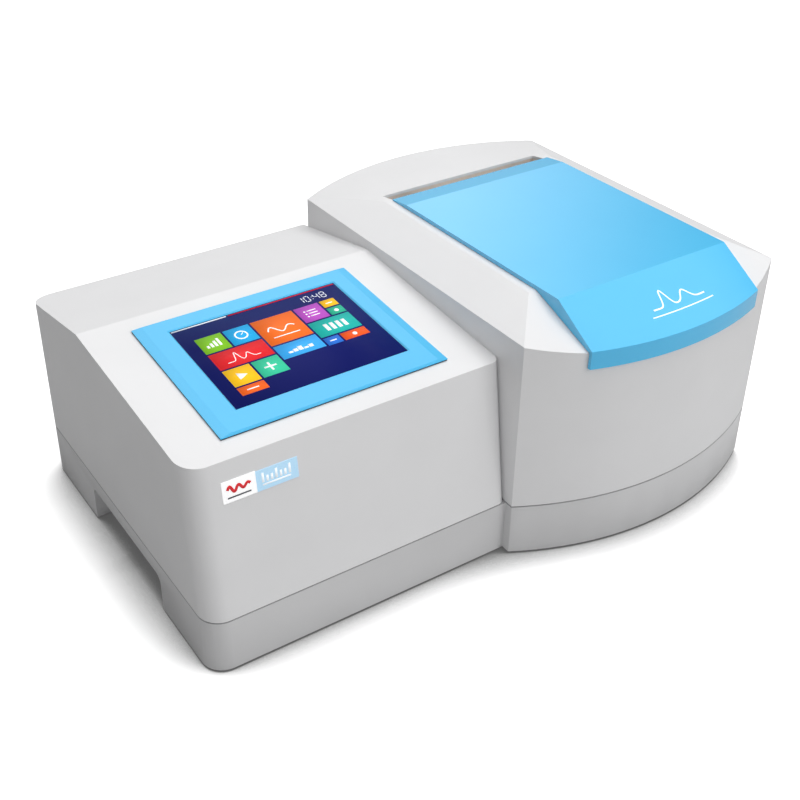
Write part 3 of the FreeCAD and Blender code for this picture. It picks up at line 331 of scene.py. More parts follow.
absWhite = mouldedAbs("texturedAbsWhite", "#EDEDEE", "#EAEAEB")
absGrey = mouldedAbs("texturedAbsGrey", "#DADADB", "#D6D6D7")
# the tray's colour turns darker above 54 mm: painted shade in the seam between tray and housing
trayAbs = trayWithPaintedSeamShade("texturedAbsGreyTray", "#DADADB", "#D6D6D7", "#A6A6A8", 54.0)
absBlue = mouldedAbs("glossAbsBlue", "#52CBFE", "#4FC8FC", 0.6, 0.22, bump=0.01, coat=0.8, uneven=0.02)
bezelAbs = mouldedAbs("satinAbsBlue", "#4EC3F6", "#4BC0F4", 0.6, 0.3, bump=0.01, coat=0.1, uneven=0.02)
litDisplay = tintedLayer("litDisplay", 0.5, (0.94, 1.0), (0.3, 0.4), 0.0, 0.3, specular=0.12)
# the printed ink glows a little: painted light, since ink gives out no light of its own
printInkPaintedGlow = tintedLayer("screenPrintInk", 0.4, (0.95, 1.0), (0.3, 0.42), 0.05, 0.35)
blackAbs = mouldedAbs("blackAbs", "#1B1C1E", "#222326", roughness=0.5)
blackPolycarbonate = mouldedAbs("blackPolycarbonate", "#131416", "#17181A", roughness=0.25, bump=0.02)
troughAbs = mouldedAbs("warmWhiteAbs", "#FBEBDD", "#F8E7D8", roughness=0.55)
# the labels glow a little: painted light, so that they stand out brighter than the wall they are on
printedFilmWhite = filmWithPaintedGlow("printedFilmWhite", "#FFFFFF", "#FDFDFE", 0.3)
printedFilmBlue = filmWithPaintedGlow("printedFilmBlue", "#BCE2FB", "#B6DEFA", 0.22)
displayGlass = mouldedAbs("coverGlass", "#0C0F2A", "#0E1130", roughness=0.12, bump=0.0)
blackCoat = coatedMetal("blackPowderCoat", "#333437", "#3A3B3E")
greyCoat = coatedMetal("greyPowderCoat", "#A4A6AA", "#9C9EA2")
darkCoat = coatedMetal("darkPowderCoat", "#4A4C50", "#434549")
blackAnodised = drawnMetal("blackAnodisedAluminium", "#3C3D42", "#484A50", roughness=0.4)
castAluminium = drawnMetal("castAluminium", "#B9BBBE", "#AFB1B4", roughness=0.5, along=(1, 1, 1), streak=0.25)
groundSteel = drawnMetal("groundSteel", "#C9CACC", "#B4B5B8", roughness=0.22, along=(30, 1, 30))
zincSteel = drawnMetal("zincPlatedSteel", "#BFC1C4", "#A9ABAE", roughness=0.35, along=(20, 1, 1))
nickel = drawnMetal("nickelPlate", "#CFCFCD", "#C4C4C1", roughness=0.18, along=(1, 1, 1), streak=0.3)
brass = drawnMetal("machinedBrass", "#C9A45A", "#B48F48", roughness=0.28, along=(1, 1, 30))
mirrorCoat = drawnMetal("aluminisedGlass", "#E6E8EC", "#DADDE2", roughness=0.08, along=(1, 1, 1))
quartz = clearGlass("fusedQuartz", "#F4F9FF")
amberGlass = clearGlass("filterGlass", "#D9933A", ior=1.52)
footRubber = softRubber("footRubber", "#17171A", "#202024")
sealFoam = softRubber("sealFoam", "#1C1C1E", "#2A2A2C", grain=1.2)
boardResist = mouldedAbs("solderResist", "#0C4A2C", "#0F5A36", roughness=0.35, bump=0.05)

finishes = {
    "rubber_feet": footRubber, "lid_seal": sealFoam, "screen_module": blackAbs,
    "label_white": printedFilmWhite, "label_blue": printedFilmBlue,
    "sample_well": blackCoat, "beam_windows": quartz, "window_rings": blackAnodised,
    "guide_rods": groundSteel, "lead_screw": groundSteel, "changer_motor": blackCoat,
    "carriage_sled": blackAnodised, "cuvette_holder": blackAnodised, "holder_screws": nickel,
    "hinge_trough": troughAbs, "hinge_rod": groundSteel, "hinge_brackets": zincSteel,
    "lid_arms": blackAbs, "lid_liner": blackAbs, "liner_screws": nickel,
    "optical_bench": castAluminium, "bench_posts": groundSteel, "monochromator_case": blackCoat,
    "monochromator_cover": blackCoat, "focusing_mirrors": mirrorCoat, "grating_table": brass,
    "diffraction_grating": mirrorCoat, "lamp_house": darkCoat, "deuterium_lamp": quartz,
    "halogen_lamp": quartz, "source_mirror": mirrorCoat, "filter_wheel": blackAnodised,
    "filter_glasses": amberGlass, "beam_tube": blackAnodised, "detector_module": blackCoat,
    "power_supply": zincSteel, "main_board": boardResist,
    "rear_panel": greyCoat, "power_inlet": blackPolycarbonate, "rocker_frame": blackAbs,
    "power_rocker": blackPolycarbonate, "fuse_holder": blackAbs, "fuse_drawer": blackPolycarbonate,
    "usb_sockets": nickel, "serial_socket": nickel, "fan_frame": blackAbs, "fan_rotor": blackAbs,
    "fan_grille": nickel, "panel_screws": nickel, "base_screws": nickel,
    "base_tray": absGrey, "console_shell": absWhite, "compartment_shell": absWhite,
    "touch_bezel": bezelAbs, "lid_cover": absBlue, "touch_glass": displayGlass,
}
for name, mat in finishes.items():
    nodes[name].data.materials.clear()
    nodes[name].data.materials.append(mat)
print("materials laid on", len(finishes), "nodes")


# console housing

console = {
    "width": 300.0, "frontY": -167.0, "backY": 188.0, "seamZ": 55.5, "corner": 20.0, "innerCorner": 8.0,
    "panelFrontY": -146.3, "panelFrontZ": 195.9, "creaseY": 63.6, "creaseZ": 214.0, "stripBackZ": 190.8,
    "windowX": (-234.0, -59.7), "windowS": (44.0, 175.4), "rearX": (-273.0, -24.0), "rearZ": (64.0, 178.0),
    "rearCorner": 4.0, "wall": 3.0, "edge": 1.6,
    "cornerColumns": 11, "columns": 24, "openingColumns": 7, "wallRows": 3,
}
c = console
rake = (c["panelFrontY"] - c["frontY"]) / (c["panelFrontZ"] - c["seamZ"])
rise = (c["creaseZ"] - c["panelFrontZ"]) / (c["creaseY"] - c["panelFrontY"])
fall = (c["stripBackZ"] - c["creaseZ"]) / (c["backY"] - c["creaseY"])
panelTilt = math.atan(rise)


def consoleRoof(y):
    # the panel's plane in front of the crease and the strip's plane behind it
    behind = y - c["creaseY"]
    return np.where(behind < 0, c["creaseZ"] + rise * behind, c["creaseZ"] + fall * behind)


def onPanel(x, s, h):
    # a point s up the sloped panel from its front edge and h out of it
    y = c["panelFrontY"] + s * math.cos(panelTilt) - h * math.sin(panelTilt)
    z = c["panelFrontZ"] + s * math.sin(panelTilt) + h * math.cos(panelTilt)
    return points(x, y, z)


def between(x, low, high):
    # which of the steps from one column to the next lie inside an opening
    return (x[:-1] >= low - 1e-6) & (x[1:] <= high + 1e-6)


def consoleHousing():
    # columns across X: quarter circles at the two front corners, with the openings' edges between;
    # each wall and roof plane is ruled between two curves on these columns
    r, ri = c["corner"], c["innerCorner"]
    turn = np.radians(np.linspace(0, 90, c["cornerColumns"]))
    left, right = -c["width"] + r - r * np.cos(turn), -ri + ri * np.sin(turn)
    frontLeft, frontRight = c["frontY"] + r * (1 - np.sin(turn)), c["frontY"] + ri * (1 - np.cos(turn))
    hole = 1 - np.cos(np.radians(np.linspace(0, 90, c["openingColumns"])))
    rc = c["rearCorner"]
    inner = [c["windowX"][0], c["windowX"][1], *(c["rearX"][0] + rc * hole), *(c["rearX"][1] - rc * hole)]
    middle = np.unique(np.concatenate([np.linspace(left[-1], right[0], c["columns"]), inner]))[1:-1]
    x = np.concatenate([left, middle, right])
    yb = np.concatenate([frontLeft, np.full(len(middle), c["frontY"]), frontRight])
    arc = np.sqrt(np.maximum(r * r - (x + c["width"] - r) ** 2, 0))
    back = np.where(x < -c["width"] + r, c["backY"] - r + arc, c["backY"])
    seam = np.full_like(x, c["seamZ"])
    # the raked front wall meets the panel where z = panel(yb + rake (z - seam))
    top = (c["creaseZ"] + rise * (yb - rake * c["seamZ"] - c["creaseY"])) / (1 - rise * rake)
    rimY = yb + rake * (top - c["seamZ"])
    patches = [ruled(points(x, yb, seam), points(x, rimY, top), c["wallRows"])]
    w0, w1 = (c["panelFrontY"] + s * math.cos(panelTilt) for s in c["windowS"])
    crease = np.full_like(x, c["creaseY"])
    rows = [rimY, np.full_like(x, w0), np.full_like(x, w1), crease, back]
    inWindow = between(x, *c["windowX"])
    for k, (a, b) in enumerate(zip(rows[:-1], rows[1:])):
        strip = ruled(points(x, a, consoleRoof(a)), points(x, b, consoleRoof(b)))
        if k == 1:
            edge = np.flatnonzero(inWindow)
            patches += [strip[:, :edge[0] + 1], strip[:, edge[-1] + 1:]]
        else:
            patches.append(strip)
    # rear wall with the rounded opening for the rear panel
    z0, z1 = c["rearZ"]
    x0, x1 = c["rearX"]
    near = np.clip(rc - np.minimum(x - x0, x1 - x), 0, rc)
    cut = rc - np.sqrt(rc * rc - near ** 2)
    rearLow, rearHigh = points(x, back, z0 + cut), points(x, back, z1 - cut)
    patches.append(ruled(points(x, back, seam), rearLow))
    patches.append(ruled(rearHigh, points(x, back, consoleRoof(back))))
    edge = np.flatnonzero(between(x, x0, x1))
    side = ruled(rearLow, rearHigh)
    patches += [side[:, :edge[0] + 1], side[:, edge[-1] + 1:]]
    # side walls: columns along Y that carry on from the roof's rows
    for xs, y0, y1 in ((-c["width"], frontLeft[0], back[0]), (0.0, frontRight[-1], back[-1])):
        i = 0 if xs < 0 else -1
        yt = np.array([row[i] for row in rows])
        dz = consoleRoof(yt) - c["seamZ"]
        s = (yt - y0 - rake * dz) / (y1 - y0 - rake * dz)
        low = points(xs, y0 + s * (y1 - y0), np.full_like(yt, c["seamZ"]))
        high = points(xs, yt, consoleRoof(yt))
        # the rows meet the front wall's rows at one end and the rear opening's rows at the other
        rear = np.array([0, (z0 + cut[i] - c["seamZ"]) / dz[-1], (z1 - cut[i] - c["seamZ"]) / dz[-1], 1])
        share = np.linspace(0, 1, c["wallRows"] + 1)[:, None] * (1 - s) + rear[:, None] * s
        patches.append(low[None] * (1 - share[..., None]) + high[None] * share[..., None])
    return weld("console_housing", patches, roofUp=True)


housing = place("console_housing", consoleHousing(), absWhite, "housing", ("console_shell",))
finish(housing, c["edge"], wall=c["wall"])
print("console housing built")


# compartment housing

bay = {
    "width": 300.0, "frontY": -175.8, "backY": 178.5, "sag": 38.9, "lean": 3.6, "seamZ": 55.5,
    "eaveZ": 223.4, "plateauZ": 241.2, "hipRun": 42.0, "plateauY": (-128.4, 96.4), "slope": 0.38,
    "wellX": (66.0, 234.0), "wellY": (-117.0, 72.0), "slotX": (51.3, 247.3), "slotY": (83.0, 114.5),
    "wall": 3.0, "edge": 1.4, "trim": 0.1, "columns": 76, "apart": 0.8, "wallRows": 3,
}
b = bay


def bow(x, half, sag):
    # height of a circle's arc of that half chord and sag above its chord
    radius = (half * half + sag * sag) / (2 * sag)
    return np.sqrt(radius * radius - np.clip(x, -half, half) ** 2) - (radius - sag)


def bayWall(x, side):
    # the bowed wall as y = start + k (z - seam): two arcs, the upper one bowed a little more
    half = b["width"] / 2
    low = bow(x - half, half, b["sag"])
    high = bow(x - half, half, b["sag"] + b["lean"])
    k = (high - low) / (b["eaveZ"] - b["seamZ"])
    return (b["frontY"] - low, -k) if side < 0 else (b["backY"] + low, k)


def compartmentHousing():
    # columns across X carry the walls, the hips, the ruled back slope and the flat top with its two openings
    hip = b["hipRun"]
    breaks = [0, hip, *b["slotX"], *b["wellX"], b["width"] - hip, b["width"]]
    x = np.unique(np.round(np.concatenate([np.linspace(0, b["width"], b["columns"]), breaks]), 4))
    x = x[np.concatenate([[True], np.diff(x) > b["apart"]]) | np.isin(x, breaks)]
    fromSide = np.minimum(x, b["width"] - x)
    drop = (b["plateauZ"] - b["eaveZ"]) * np.clip(1 - fromSide / hip, 0, 1)
    zHip = b["plateauZ"] - drop
    y0, k0 = bayWall(x, -1)
    seam = np.full_like(x, b["seamZ"])
    p0, p1 = b["plateauY"]
    # front eave: the wall y0 + k0 (z - seam) under the plane z = plateau - slope (p0 - y)
    zFront = (b["plateauZ"] + b["slope"] * (y0 - k0 * b["seamZ"] - p0)) / (1 - b["slope"] * k0)
    yFront = y0 + k0 * (zFront - b["seamZ"])
    ridgeFront = p0 - drop / b["slope"]
    y1, k1 = bayWall(x, 1)
    yEave = y1 + k1 * (b["eaveZ"] - b["seamZ"])
    share = drop / (b["plateauZ"] - b["eaveZ"])
    ridgeBack = p1 + share * (yEave - p1)
    patches = [ruled(points(x, y0, seam), points(x, yFront, zFront), b["wallRows"]),
               ruled(points(x, y1, seam), points(x, yEave, b["eaveZ"]), b["wallRows"]),
               ruled(points(x, yFront, zFront), points(x, ridgeFront, zHip))]

    def roofRow(way):
        # a row between the two ridges, at that share of the way
        return points(x, ridgeFront + way * (ridgeBack - ridgeFront), zHip)

    def backRow(y):
        # a row of the ruled back slope that passes through y where the top is flat
        v = share + (1 - share) * (y - p1) / (yEave - p1)
        return points(x, p1 + v * (yEave - p1), b["plateauZ"] - v * (b["plateauZ"] - b["eaveZ"]))

    rows = [roofRow((y - p0) / (p1 - p0)) for y in (p0, *b["wellY"], b["slotY"][0], p1)]
    rows += [backRow(b["slotY"][1]), points(x, yEave, b["eaveZ"])]
    openings = {1: b["wellX"], 3: b["slotX"], 4: b["slotX"]}
    for k, (low, high) in enumerate(zip(rows[:-1], rows[1:])):
        strip = ruled(low, high)
        if k in openings:
            xa, xb = openings[k]
            i, j = np.flatnonzero(np.isclose(x, xa))[0], np.flatnonzero(np.isclose(x, xb))[0]
            patches += [strip[:, :i + 1], strip[:, j:]]
        else:
            patches.append(strip)
    # flat side walls under the first and the last column
    for i in (0, -1):
        top = np.array([[yFront[i], zFront[i]]] + [[row[i, 1], row[i, 2]] for row in rows])
        high = points(x[i], top[:, 0], top[:, 1])
        patches.append(ruled(points(x[i], top[:, 0], b["seamZ"]), high, b["wallRows"]))
    # a hair narrower, so that the rounded corners stay inside the solid's own sides
    patches = [p * [1 - 2 * b["trim"] / b["width"], 1, 1] + [b["trim"], 0, 0] for p in patches]
    return weld("compartment_housing", patches, roofUp=True)


housing = place("compartment_housing", compartmentHousing(), absWhite, "housing",
                ("compartment_shell",))
finish(housing, b["edge"], wall=b["wall"])
print("compartment housing built")


# lid

lid = {
    "x": (50.3, 251.1), "topZ": 245.5, "creaseY": -156.9, "bevelY": 70.5, "backY": 95.0, "backZ": 242.3,
    "lipY": -203.8, "lipSag": 17.0, "lipTopZ": 216.6, "lipBottomZ": 199.0, "skin": 3.0, "lipThinner": 1.4,
    "creaseIn": 1.0, "roofGap": 0.4, "wallGap": 0.7, "edge": 0.9, "edgeAngle": 6, "columns": 61,
    "flangeX": (54.3, 244.3), "flangeY": (86.0, 95.0), "flangeZ": 235.0, "flangeIn": 0.2,
}


def lidCover():
    # each row is a straight line across the lid at one step of its side profile, let down at both ends
    # to the cheek's lower edge; an inner grid of the same rows closes the skin
    d = lid
    xa, xb = d["x"]
    mid, half = (xa + xb) / 2, (xb - xa) / 2
    across = np.linspace(0, 1, d["columns"])

    def row(top, foot, inset):
        # top and foot are functions of x that give (y, z)
        x = xa + inset + across * (xb - xa - 2 * inset)
        y, z = top(x)
        line = points(x, y, z)
        ends = [points(e, *foot(np.array(e))) for e in (x[0], x[-1])]
        return np.concatenate([ends[0][None], line, ends[1][None]])

    def lip(x, inset=0.0):
        # the bowed front edge: a circle's arc before the lip's chord
        return d["lipY"] - bow(np.clip(x - mid, -half, half), half, d["lipSag"]) + inset

    def wallAt(x, z):
        # the front wall at that height, with the gap
        y0, k0 = bayWall(x, -1)
        return y0 + k0 * (z - b["seamZ"]) - d["wallGap"]

    def slopeZ(y):
        # the height of the roof's front slope, with the gap
        return floorZ - b["slope"] * (ridgeY - y)

    def eaveY(x):
        # where the wall, followed up to about the lip's height, passes under that slope
        return wallAt(x, slopeZ(wallAt(x, d["lipTopZ"])))

    skin, topZ, bevelY, creaseY, backY = (d[key] for key in ("skin", "topZ", "bevelY", "creaseY", "backY"))
    floorZ, ridgeY = b["plateauZ"] + d["roofGap"], b["plateauY"][0]
    tightY = bevelY + (topZ - skin - floorZ) / (topZ - d["backZ"]) * (backY - bevelY)
    steps = [
        # outer y, z | inner y, z | foot y, z
        (lambda x: (backY, d["backZ"]), lambda x: (backY, floorZ), lambda x: (backY, floorZ)),
        (lambda x: (tightY, floorZ + skin), lambda x: (tightY, floorZ), lambda x: (tightY, floorZ)),
        (lambda x: (bevelY, topZ), lambda x: (bevelY, topZ - skin), lambda x: (bevelY, floorZ)),
        (lambda x: (ridgeY, topZ), lambda x: (ridgeY, topZ - skin), lambda x: (ridgeY, floorZ)),
        (lambda x: (creaseY, topZ), lambda x: (creaseY + d["creaseIn"], topZ - skin),
         lambda x: (creaseY, slopeZ(creaseY))),
        (lambda x: (lip(x), d["lipTopZ"]), lambda x: (lip(x, skin), d["lipTopZ"] - d["lipThinner"]),
         lambda x: (eaveY(x), slopeZ(eaveY(x)))),
        (lambda x: (lip(x), d["lipBottomZ"]), lambda x: (lip(x, skin), d["lipBottomZ"]),
         lambda x: (wallAt(x, d["lipBottomZ"]), d["lipBottomZ"])),
    ]
    outer = np.stack([row(top, foot, 0.0) for top, inside, foot in steps])
    inner = np.stack([row(inside, foot, skin) for top, inside, foot in steps])
    borders = [ruled(outer[i], inner[i]) for i in (0, -1)]
    borders += [ruled(outer[:, i], inner[:, i]) for i in (0, -1)]
    patches = [outer, inner] + borders
    # the flange under the back edge, a closed bar that the arms carry
    (fy0, fy1), low, high = d["flangeY"], d["flangeZ"], floorZ + d["flangeIn"]
    ring = np.array([(fy0, low), (fy1, low), (fy1, high), (fy0, high), (fy0, low)])
    ends = [points(x, ring[:, 0], ring[:, 1]) for x in d["flangeX"]]
    middle = [points(x, np.full(len(ring), (fy0 + fy1) / 2), (low + floorZ) / 2) for x in d["flangeX"]]
    patches += [ruled(ends[0], ends[1]), ruled(middle[0], ends[0]), ruled(ends[1], middle[1])]
    return weld("lid_skin", patches)


cover = place("lid_skin", lidCover(), absBlue, "lid", ("lid_cover",))
finish(cover, lid["edge"], angle=lid["edgeAngle"])
print("lid built")


# screen frame

bezel = {
    "x": (-257.3, -40.0), "s": (21.8, 190.2), "glassX": (-230.0, -63.7), "glassS": (48.0, 171.4),
    "rise": 3.4, "lip": 1.9, "wide": 9.0, "narrow": 1.6, "innerRun": 1.4, "innerDrop": 1.0,
    "skirtZ": -6.0, "skirtWall": 3.6, "edge": 0.35, "edgeAngle": 8,
    "shadeGasket": 1.1, "shadeGasketInset": 0.4, "shadeGasketSpan": 8.0, "shadeGasketFoot": -0.1, "trayEdge": 0.8,
}


def rings(*corners):
    # rings of four corners, each by its own sides and height over the panel, joined one to the next
    loops = [onPanel(np.array([a, e, e, a, a]), np.array([f, f, g, g, f]), h) for a, e, f, g, h in corners]
    return np.stack(loops)


def screenFrame():
    # from the shade gasket up the chamfers, over the flat band, down to the glass and back underneath
    d = bezel
    (x0, x1), (s0, s1) = d["x"], d["s"]
    (gx0, gx1), (gs0, gs1) = d["glassX"], d["glassS"]
    run, low, base = d["innerRun"], d["rise"] - d["innerDrop"], d["shadeGasket"]
    foot, wall = d["skirtZ"], d["skirtWall"]
    skirt = (gx0 - wall, gx1 + wall, gs0 - wall, gs1 + wall)
    return weld("screen_frame", [rings(
        (x0, x1, s0, s1, base), (x0, x1, s0, s1, d["lip"]),
        (x0 + d["wide"], x1 - d["wide"], s0 + d["narrow"], s1 - d["narrow"], d["rise"]),
        (gx0 - run, gx1 + run, gs0 - run, gs1 + run, d["rise"]), (gx0, gx1, gs0, gs1, low),
        (gx0, gx1, gs0, gs1, foot), (*skirt, foot), (*skirt, base), (x0, x1, s0, s1, base))])


def frameShadeGasket():
    # a flat black foam strip all round under the frame, set in a little from its edge: it is there to darken
    # the gap under the frame, as painted shade
    d = bezel
    (x0, x1), (s0, s1) = d["x"], d["s"]
    outer, inner = [(x0 + t, x1 - t, s0 + t, s1 - t) for t in (d["shadeGasketInset"], d["shadeGasketSpan"])]
    foot, top = d["shadeGasketFoot"], d["shadeGasket"]
    return weld("frame_shade_gasket", [rings(
        (*outer, foot), (*outer, top), (*inner, top), (*inner, foot), (*outer, foot))])


frameObj = place("screen_frame", screenFrame(), bezelAbs, "housing", ("touch_bezel",))
finish(frameObj, bezel["edge"], angle=bezel["edgeAngle"])
# the black foam ring stands for the shade in the gap under the frame's edge
place("frame_shade_gasket", frameShadeGasket(), sealFoam, "housing", ())
softened("base_tray", "base_housing", trayAbs, bezel["trayEdge"])
print("screen frame and base built")


# flat shapes, lit on the display and printed on the labels and the lid, all of a layout of their own:
# each is a pair of curves with a strip between them, and a level in the stack

def bar(a0, b0, a1, b1, level=2):
    # a rectangle: its lower and its upper side
    return [(np.array([(a0, b0), (a1, b0)]), np.array([(a0, b1), (a1, b1)]), level)]


def stroke(curve, width, level=2):
    # a line of that width: the curve pushed half the width to either side of itself
    curve = np.asarray(curve, float)
    along = np.gradient(curve, axis=0)
    along /= np.linalg.norm(along, axis=1)[:, None]
    side = np.stack([-along[:, 1], along[:, 0]], -1) * width / 2
    return [(curve - side, curve + side, level)]


def disc(a, b, radius, hole=0.0, level=2):
    # between a lower and an upper half circle, or a ring between two circles
    if hole:
        t = np.linspace(0, 2 * np.pi, 33)
        rim = np.stack([-np.cos(t), np.sin(t)], -1)
        return [((a, b) + hole * rim, (a, b) + radius * rim, level)]
    t = np.linspace(0.1, np.pi - 0.1, 16)
    return [(np.stack([a - radius * np.cos(t), b - radius * np.sin(t)], -1),
             np.stack([a - radius * np.cos(t), b + radius * np.sin(t)], -1), level)]


def sign(kind, a0, b0, a1, b1, line):
    # plain signs of bars, lines and dots: every number is a share of the tile's size, from the tile's middle
    w, h, a, e = a1 - a0, b1 - b0, (a0 + a1) / 2, (b0 + b1) / 2
    m, t = min(w, h), np.linspace(0, 1, 41)

    def box(x0, y0, x1, y1, wide=m, high=m):
        # a rectangle, in shares of the tile's shorter side unless two others are given
        return bar(a + x0 * wide, e + y0 * high, a + x1 * wide, e + y1 * high)

    if kind == "bars":
        return sum([box(0.16 * i - 0.3, -0.2, 0.16 * i - 0.2, 0.1 * i - 0.05) for i in range(4)], [])
    if kind == "ring":
        hand = [(a, e), (a + 0.06 * m, e + 0.055 * m), (a + 0.12 * m, e + 0.11 * m)]
        return disc(a, e, 0.26 * m, 0.2 * m) + stroke(hand, line)
    if kind == "wave":
        curve = np.stack([a + (t - 0.5) * 0.62 * w, e + 0.16 * h * np.sin(t * 3 * np.pi) * np.exp(-t)], -1)
        return stroke(curve, line * 1.6) + box(-0.31, -0.27, 0.31, -0.24, w, h)
    if kind == "list":
        return sum([disc(a - 0.22 * m, e + i * 0.17 * m, 0.04 * m)
                    + box(-0.12, i * 0.17 - 0.025, 0.26, i * 0.17 + 0.025) for i in (-1, 0, 1)], [])
    if kind == "peaks":
        curve = np.stack([a + (t - 0.5) * 0.6 * w, e - 0.24 * h + 0.5 * h * np.exp(-((t - 0.35) / 0.07) ** 2)
                          + 0.3 * h * np.exp(-((t - 0.68) / 0.09) ** 2)], -1)
        return stroke(curve, line)
    if kind == "cells":
        return sum([box(0.25 * i - 0.42, -0.22, 0.25 * i - 0.27, 0.2, h, h) for i in range(4)], [])
    if kind == "arrow":
        back, tip = a - 0.15 * m, a + 0.22 * m
        low, high = [np.array([(back, e + side * 0.2 * m), (tip, e + side * 0.01)]) for side in (-1, 1)]
        return [(low, high, 2)]
    if kind == "cross":
        return box(-0.24, -0.04, 0.24, 0.04) + box(-0.04, 0.045, 0.04, 0.24) + box(-0.04, -0.24, 0.04, -0.045)
    if kind == "steps":
        return sum([box(0.12 * i - 0.3, -0.22, 0.12 * i - 0.2, 0.08 * (i % 3) - 0.1, w, h)
                    for i in range(5)], [])
    if kind == "dot":
        return disc(a, e, 0.2 * m)
    return box(-0.22, -0.06, 0.22, 0.06, w, h)


def digits(text, at, size, gap, line, colonGap, colonIn, dots):
    # straight strokes make each digit: top, two right, foot, two left, middle; the colon is two dots
    (w, h), (a, e), g = size, at, line / 2
    strokes = {"top": (0, h, w, h), "right1": (w, h / 2, w, h), "right0": (w, 0, w, h / 2),
               "foot": (0, 0, w, 0), "left0": (0, 0, 0, h / 2), "left1": (0, h / 2, 0, h),
               "mid": (0, h / 2, w, h / 2)}
    lit = {"0": "top right1 right0 foot left0 left1", "1": "right1 right0", "4": "left1 mid right1 right0",
           "8": "top right1 right0 foot left0 left1 mid"}
    out = []
    for i, letter in enumerate(text):
        start = a + i * (w + gap) + (colonGap if i > 1 else 0)
        for name in lit[letter].split():
            p0, q0, p1, q1 = strokes[name]
            upright = p0 == p1
            ga, ge = (g, -g) if upright else (-g, g)
            out += bar(start + p0 - ga, e + q0 - ge, start + p1 + ga, e + q1 + ge)
    middle = a + 2 * (w + gap) + colonIn
    return out + sum([bar(middle - g, e + up, middle + g, e + up + line) for up in dots], [])


def plates(name, groups, lay, top, thick=0.1):
    # each strip becomes a thin closed body: its two curves, over and under it, make four lines, quads join
    # each line to the next all round, and a cap closes either end unless the strip is a ring
    verts, faces, colours, start = [], [], [], 0
    for shapes, colour in groups:
        for low, high, level in shapes:
            ring = np.allclose(low[0], low[-1])
            low, high = (low[:-1], high[:-1]) if ring else (low, high)
            under, over, n = top + level * thick, top + (level + 1) * thick, len(low)
            verts.append(np.concatenate([lay(low, over), lay(high, over), lay(high, under), lay(low, under)]))
            i, line = np.arange(n if ring else n - 1)[:, None], np.arange(4)[None]
            after, beside = (i + 1) % n, (line + 1) % 4
            quads = np.stack([line * n + i, line * n + after, beside * n + after, beside * n + i], -1)
            quads = quads.reshape(-1, 4)
            if not ring:
                caps = np.array([[0, n, 2 * n, 3 * n], [n - 1, 4 * n - 1, 3 * n - 1, 2 * n - 1]])
                quads = np.concatenate([quads, caps])
            faces.append(quads + start)
            colours.append(np.tile(linear(colour), (len(quads) * 4, 1)))
            start += 4 * n
    mesh = bpy.data.meshes.new(name)
    mesh.from_pydata((np.concatenate(verts) * mm).tolist(), [], np.concatenate(faces).tolist())
    tint = mesh.attributes.new("tint", "FLOAT_COLOR", "CORNER")
    tint.data.foreach_set("color", np.concatenate(colours).reshape(-1).astype(np.float32))
    return mesh


display = {
    "top": 2.2, "line": 0.8, "signColour": "#FFFFFF", "back": ((0.3, 0.3, 166.0, 123.1), "#12195E"),
    "bars": [((56.0, 121.0, 165.4, 122.4), "#C8202C"), ((1.0, 121.0, 54.0, 122.4), "#E8ECF2")],
    "clock": {"text": "1048", "at": (122.0, 107.0), "size": (4.4, 8.4), "gap": 2.6, "line": 0.9,
              "colonGap": 2.4, "colonIn": 0.4, "dots": (1.6, 5.0)}, "clockColour": "#E6EAF6",
    # a0, b0, a1, b1 in millimetres from the glass's lower left corner, the colour and the sign on it
    "tiles": [
        ((13.0, 78.0, 38.0, 102.0), "#7DBB2B", "bars"), ((40.0, 78.0, 65.0, 102.0), "#2BA6E0", "ring"),
        ((67.0, 62.0, 109.0, 102.0), "#F0702A", "wave"), ((111.0, 78.0, 136.0, 102.0), "#B653BE", "list"),
        ((138.0, 91.0, 153.0, 102.0), "#F5BE2A", "dash"), ((138.0, 78.0, 153.0, 89.0), "#35B08E", "dot"),
        ((13.0, 52.0, 65.0, 76.0), "#DE2A30", "peaks"), ((111.0, 52.0, 153.0, 76.0), "#27B3A9", "cells"),
        ((13.0, 26.0, 38.0, 50.0), "#F7C021", "arrow"), ((40.0, 26.0, 65.0, 50.0), "#3CC59B", "cross"),
        ((67.0, 40.0, 109.0, 60.0), "#3FA9EE", "steps"), ((111.0, 39.0, 126.0, 50.0), "#2E6FD0", "dash"),
        ((128.0, 39.0, 153.0, 50.0), "#EE5A26", "dot"), ((13.0, 13.0, 38.0, 24.0), "#EC6323", "dash"),
    ],
}
d = display


def onGlass(curve, h):
    # millimetres across and up the glass from its lower left corner, and h out of the panel
    return onPanel(bezel["glassX"][0] + curve[:, 0], bezel["glassS"][0] + curve[:, 1], h)


groups = [(bar(*d["back"][0], 0), d["back"][1]), (digits(**d["clock"]), d["clockColour"])]
groups += [(bar(*rect, 1), colour) for rect, colour in d["bars"]]
for rect, colour, kind in d["tiles"]:
    groups += [(bar(*rect, 1), colour), (sign(kind, *rect, d["line"]), d["signColour"])]
picture = plates("display_picture", groups, onGlass, d["top"])
place("display_picture", picture, litDisplay, "housing", ())

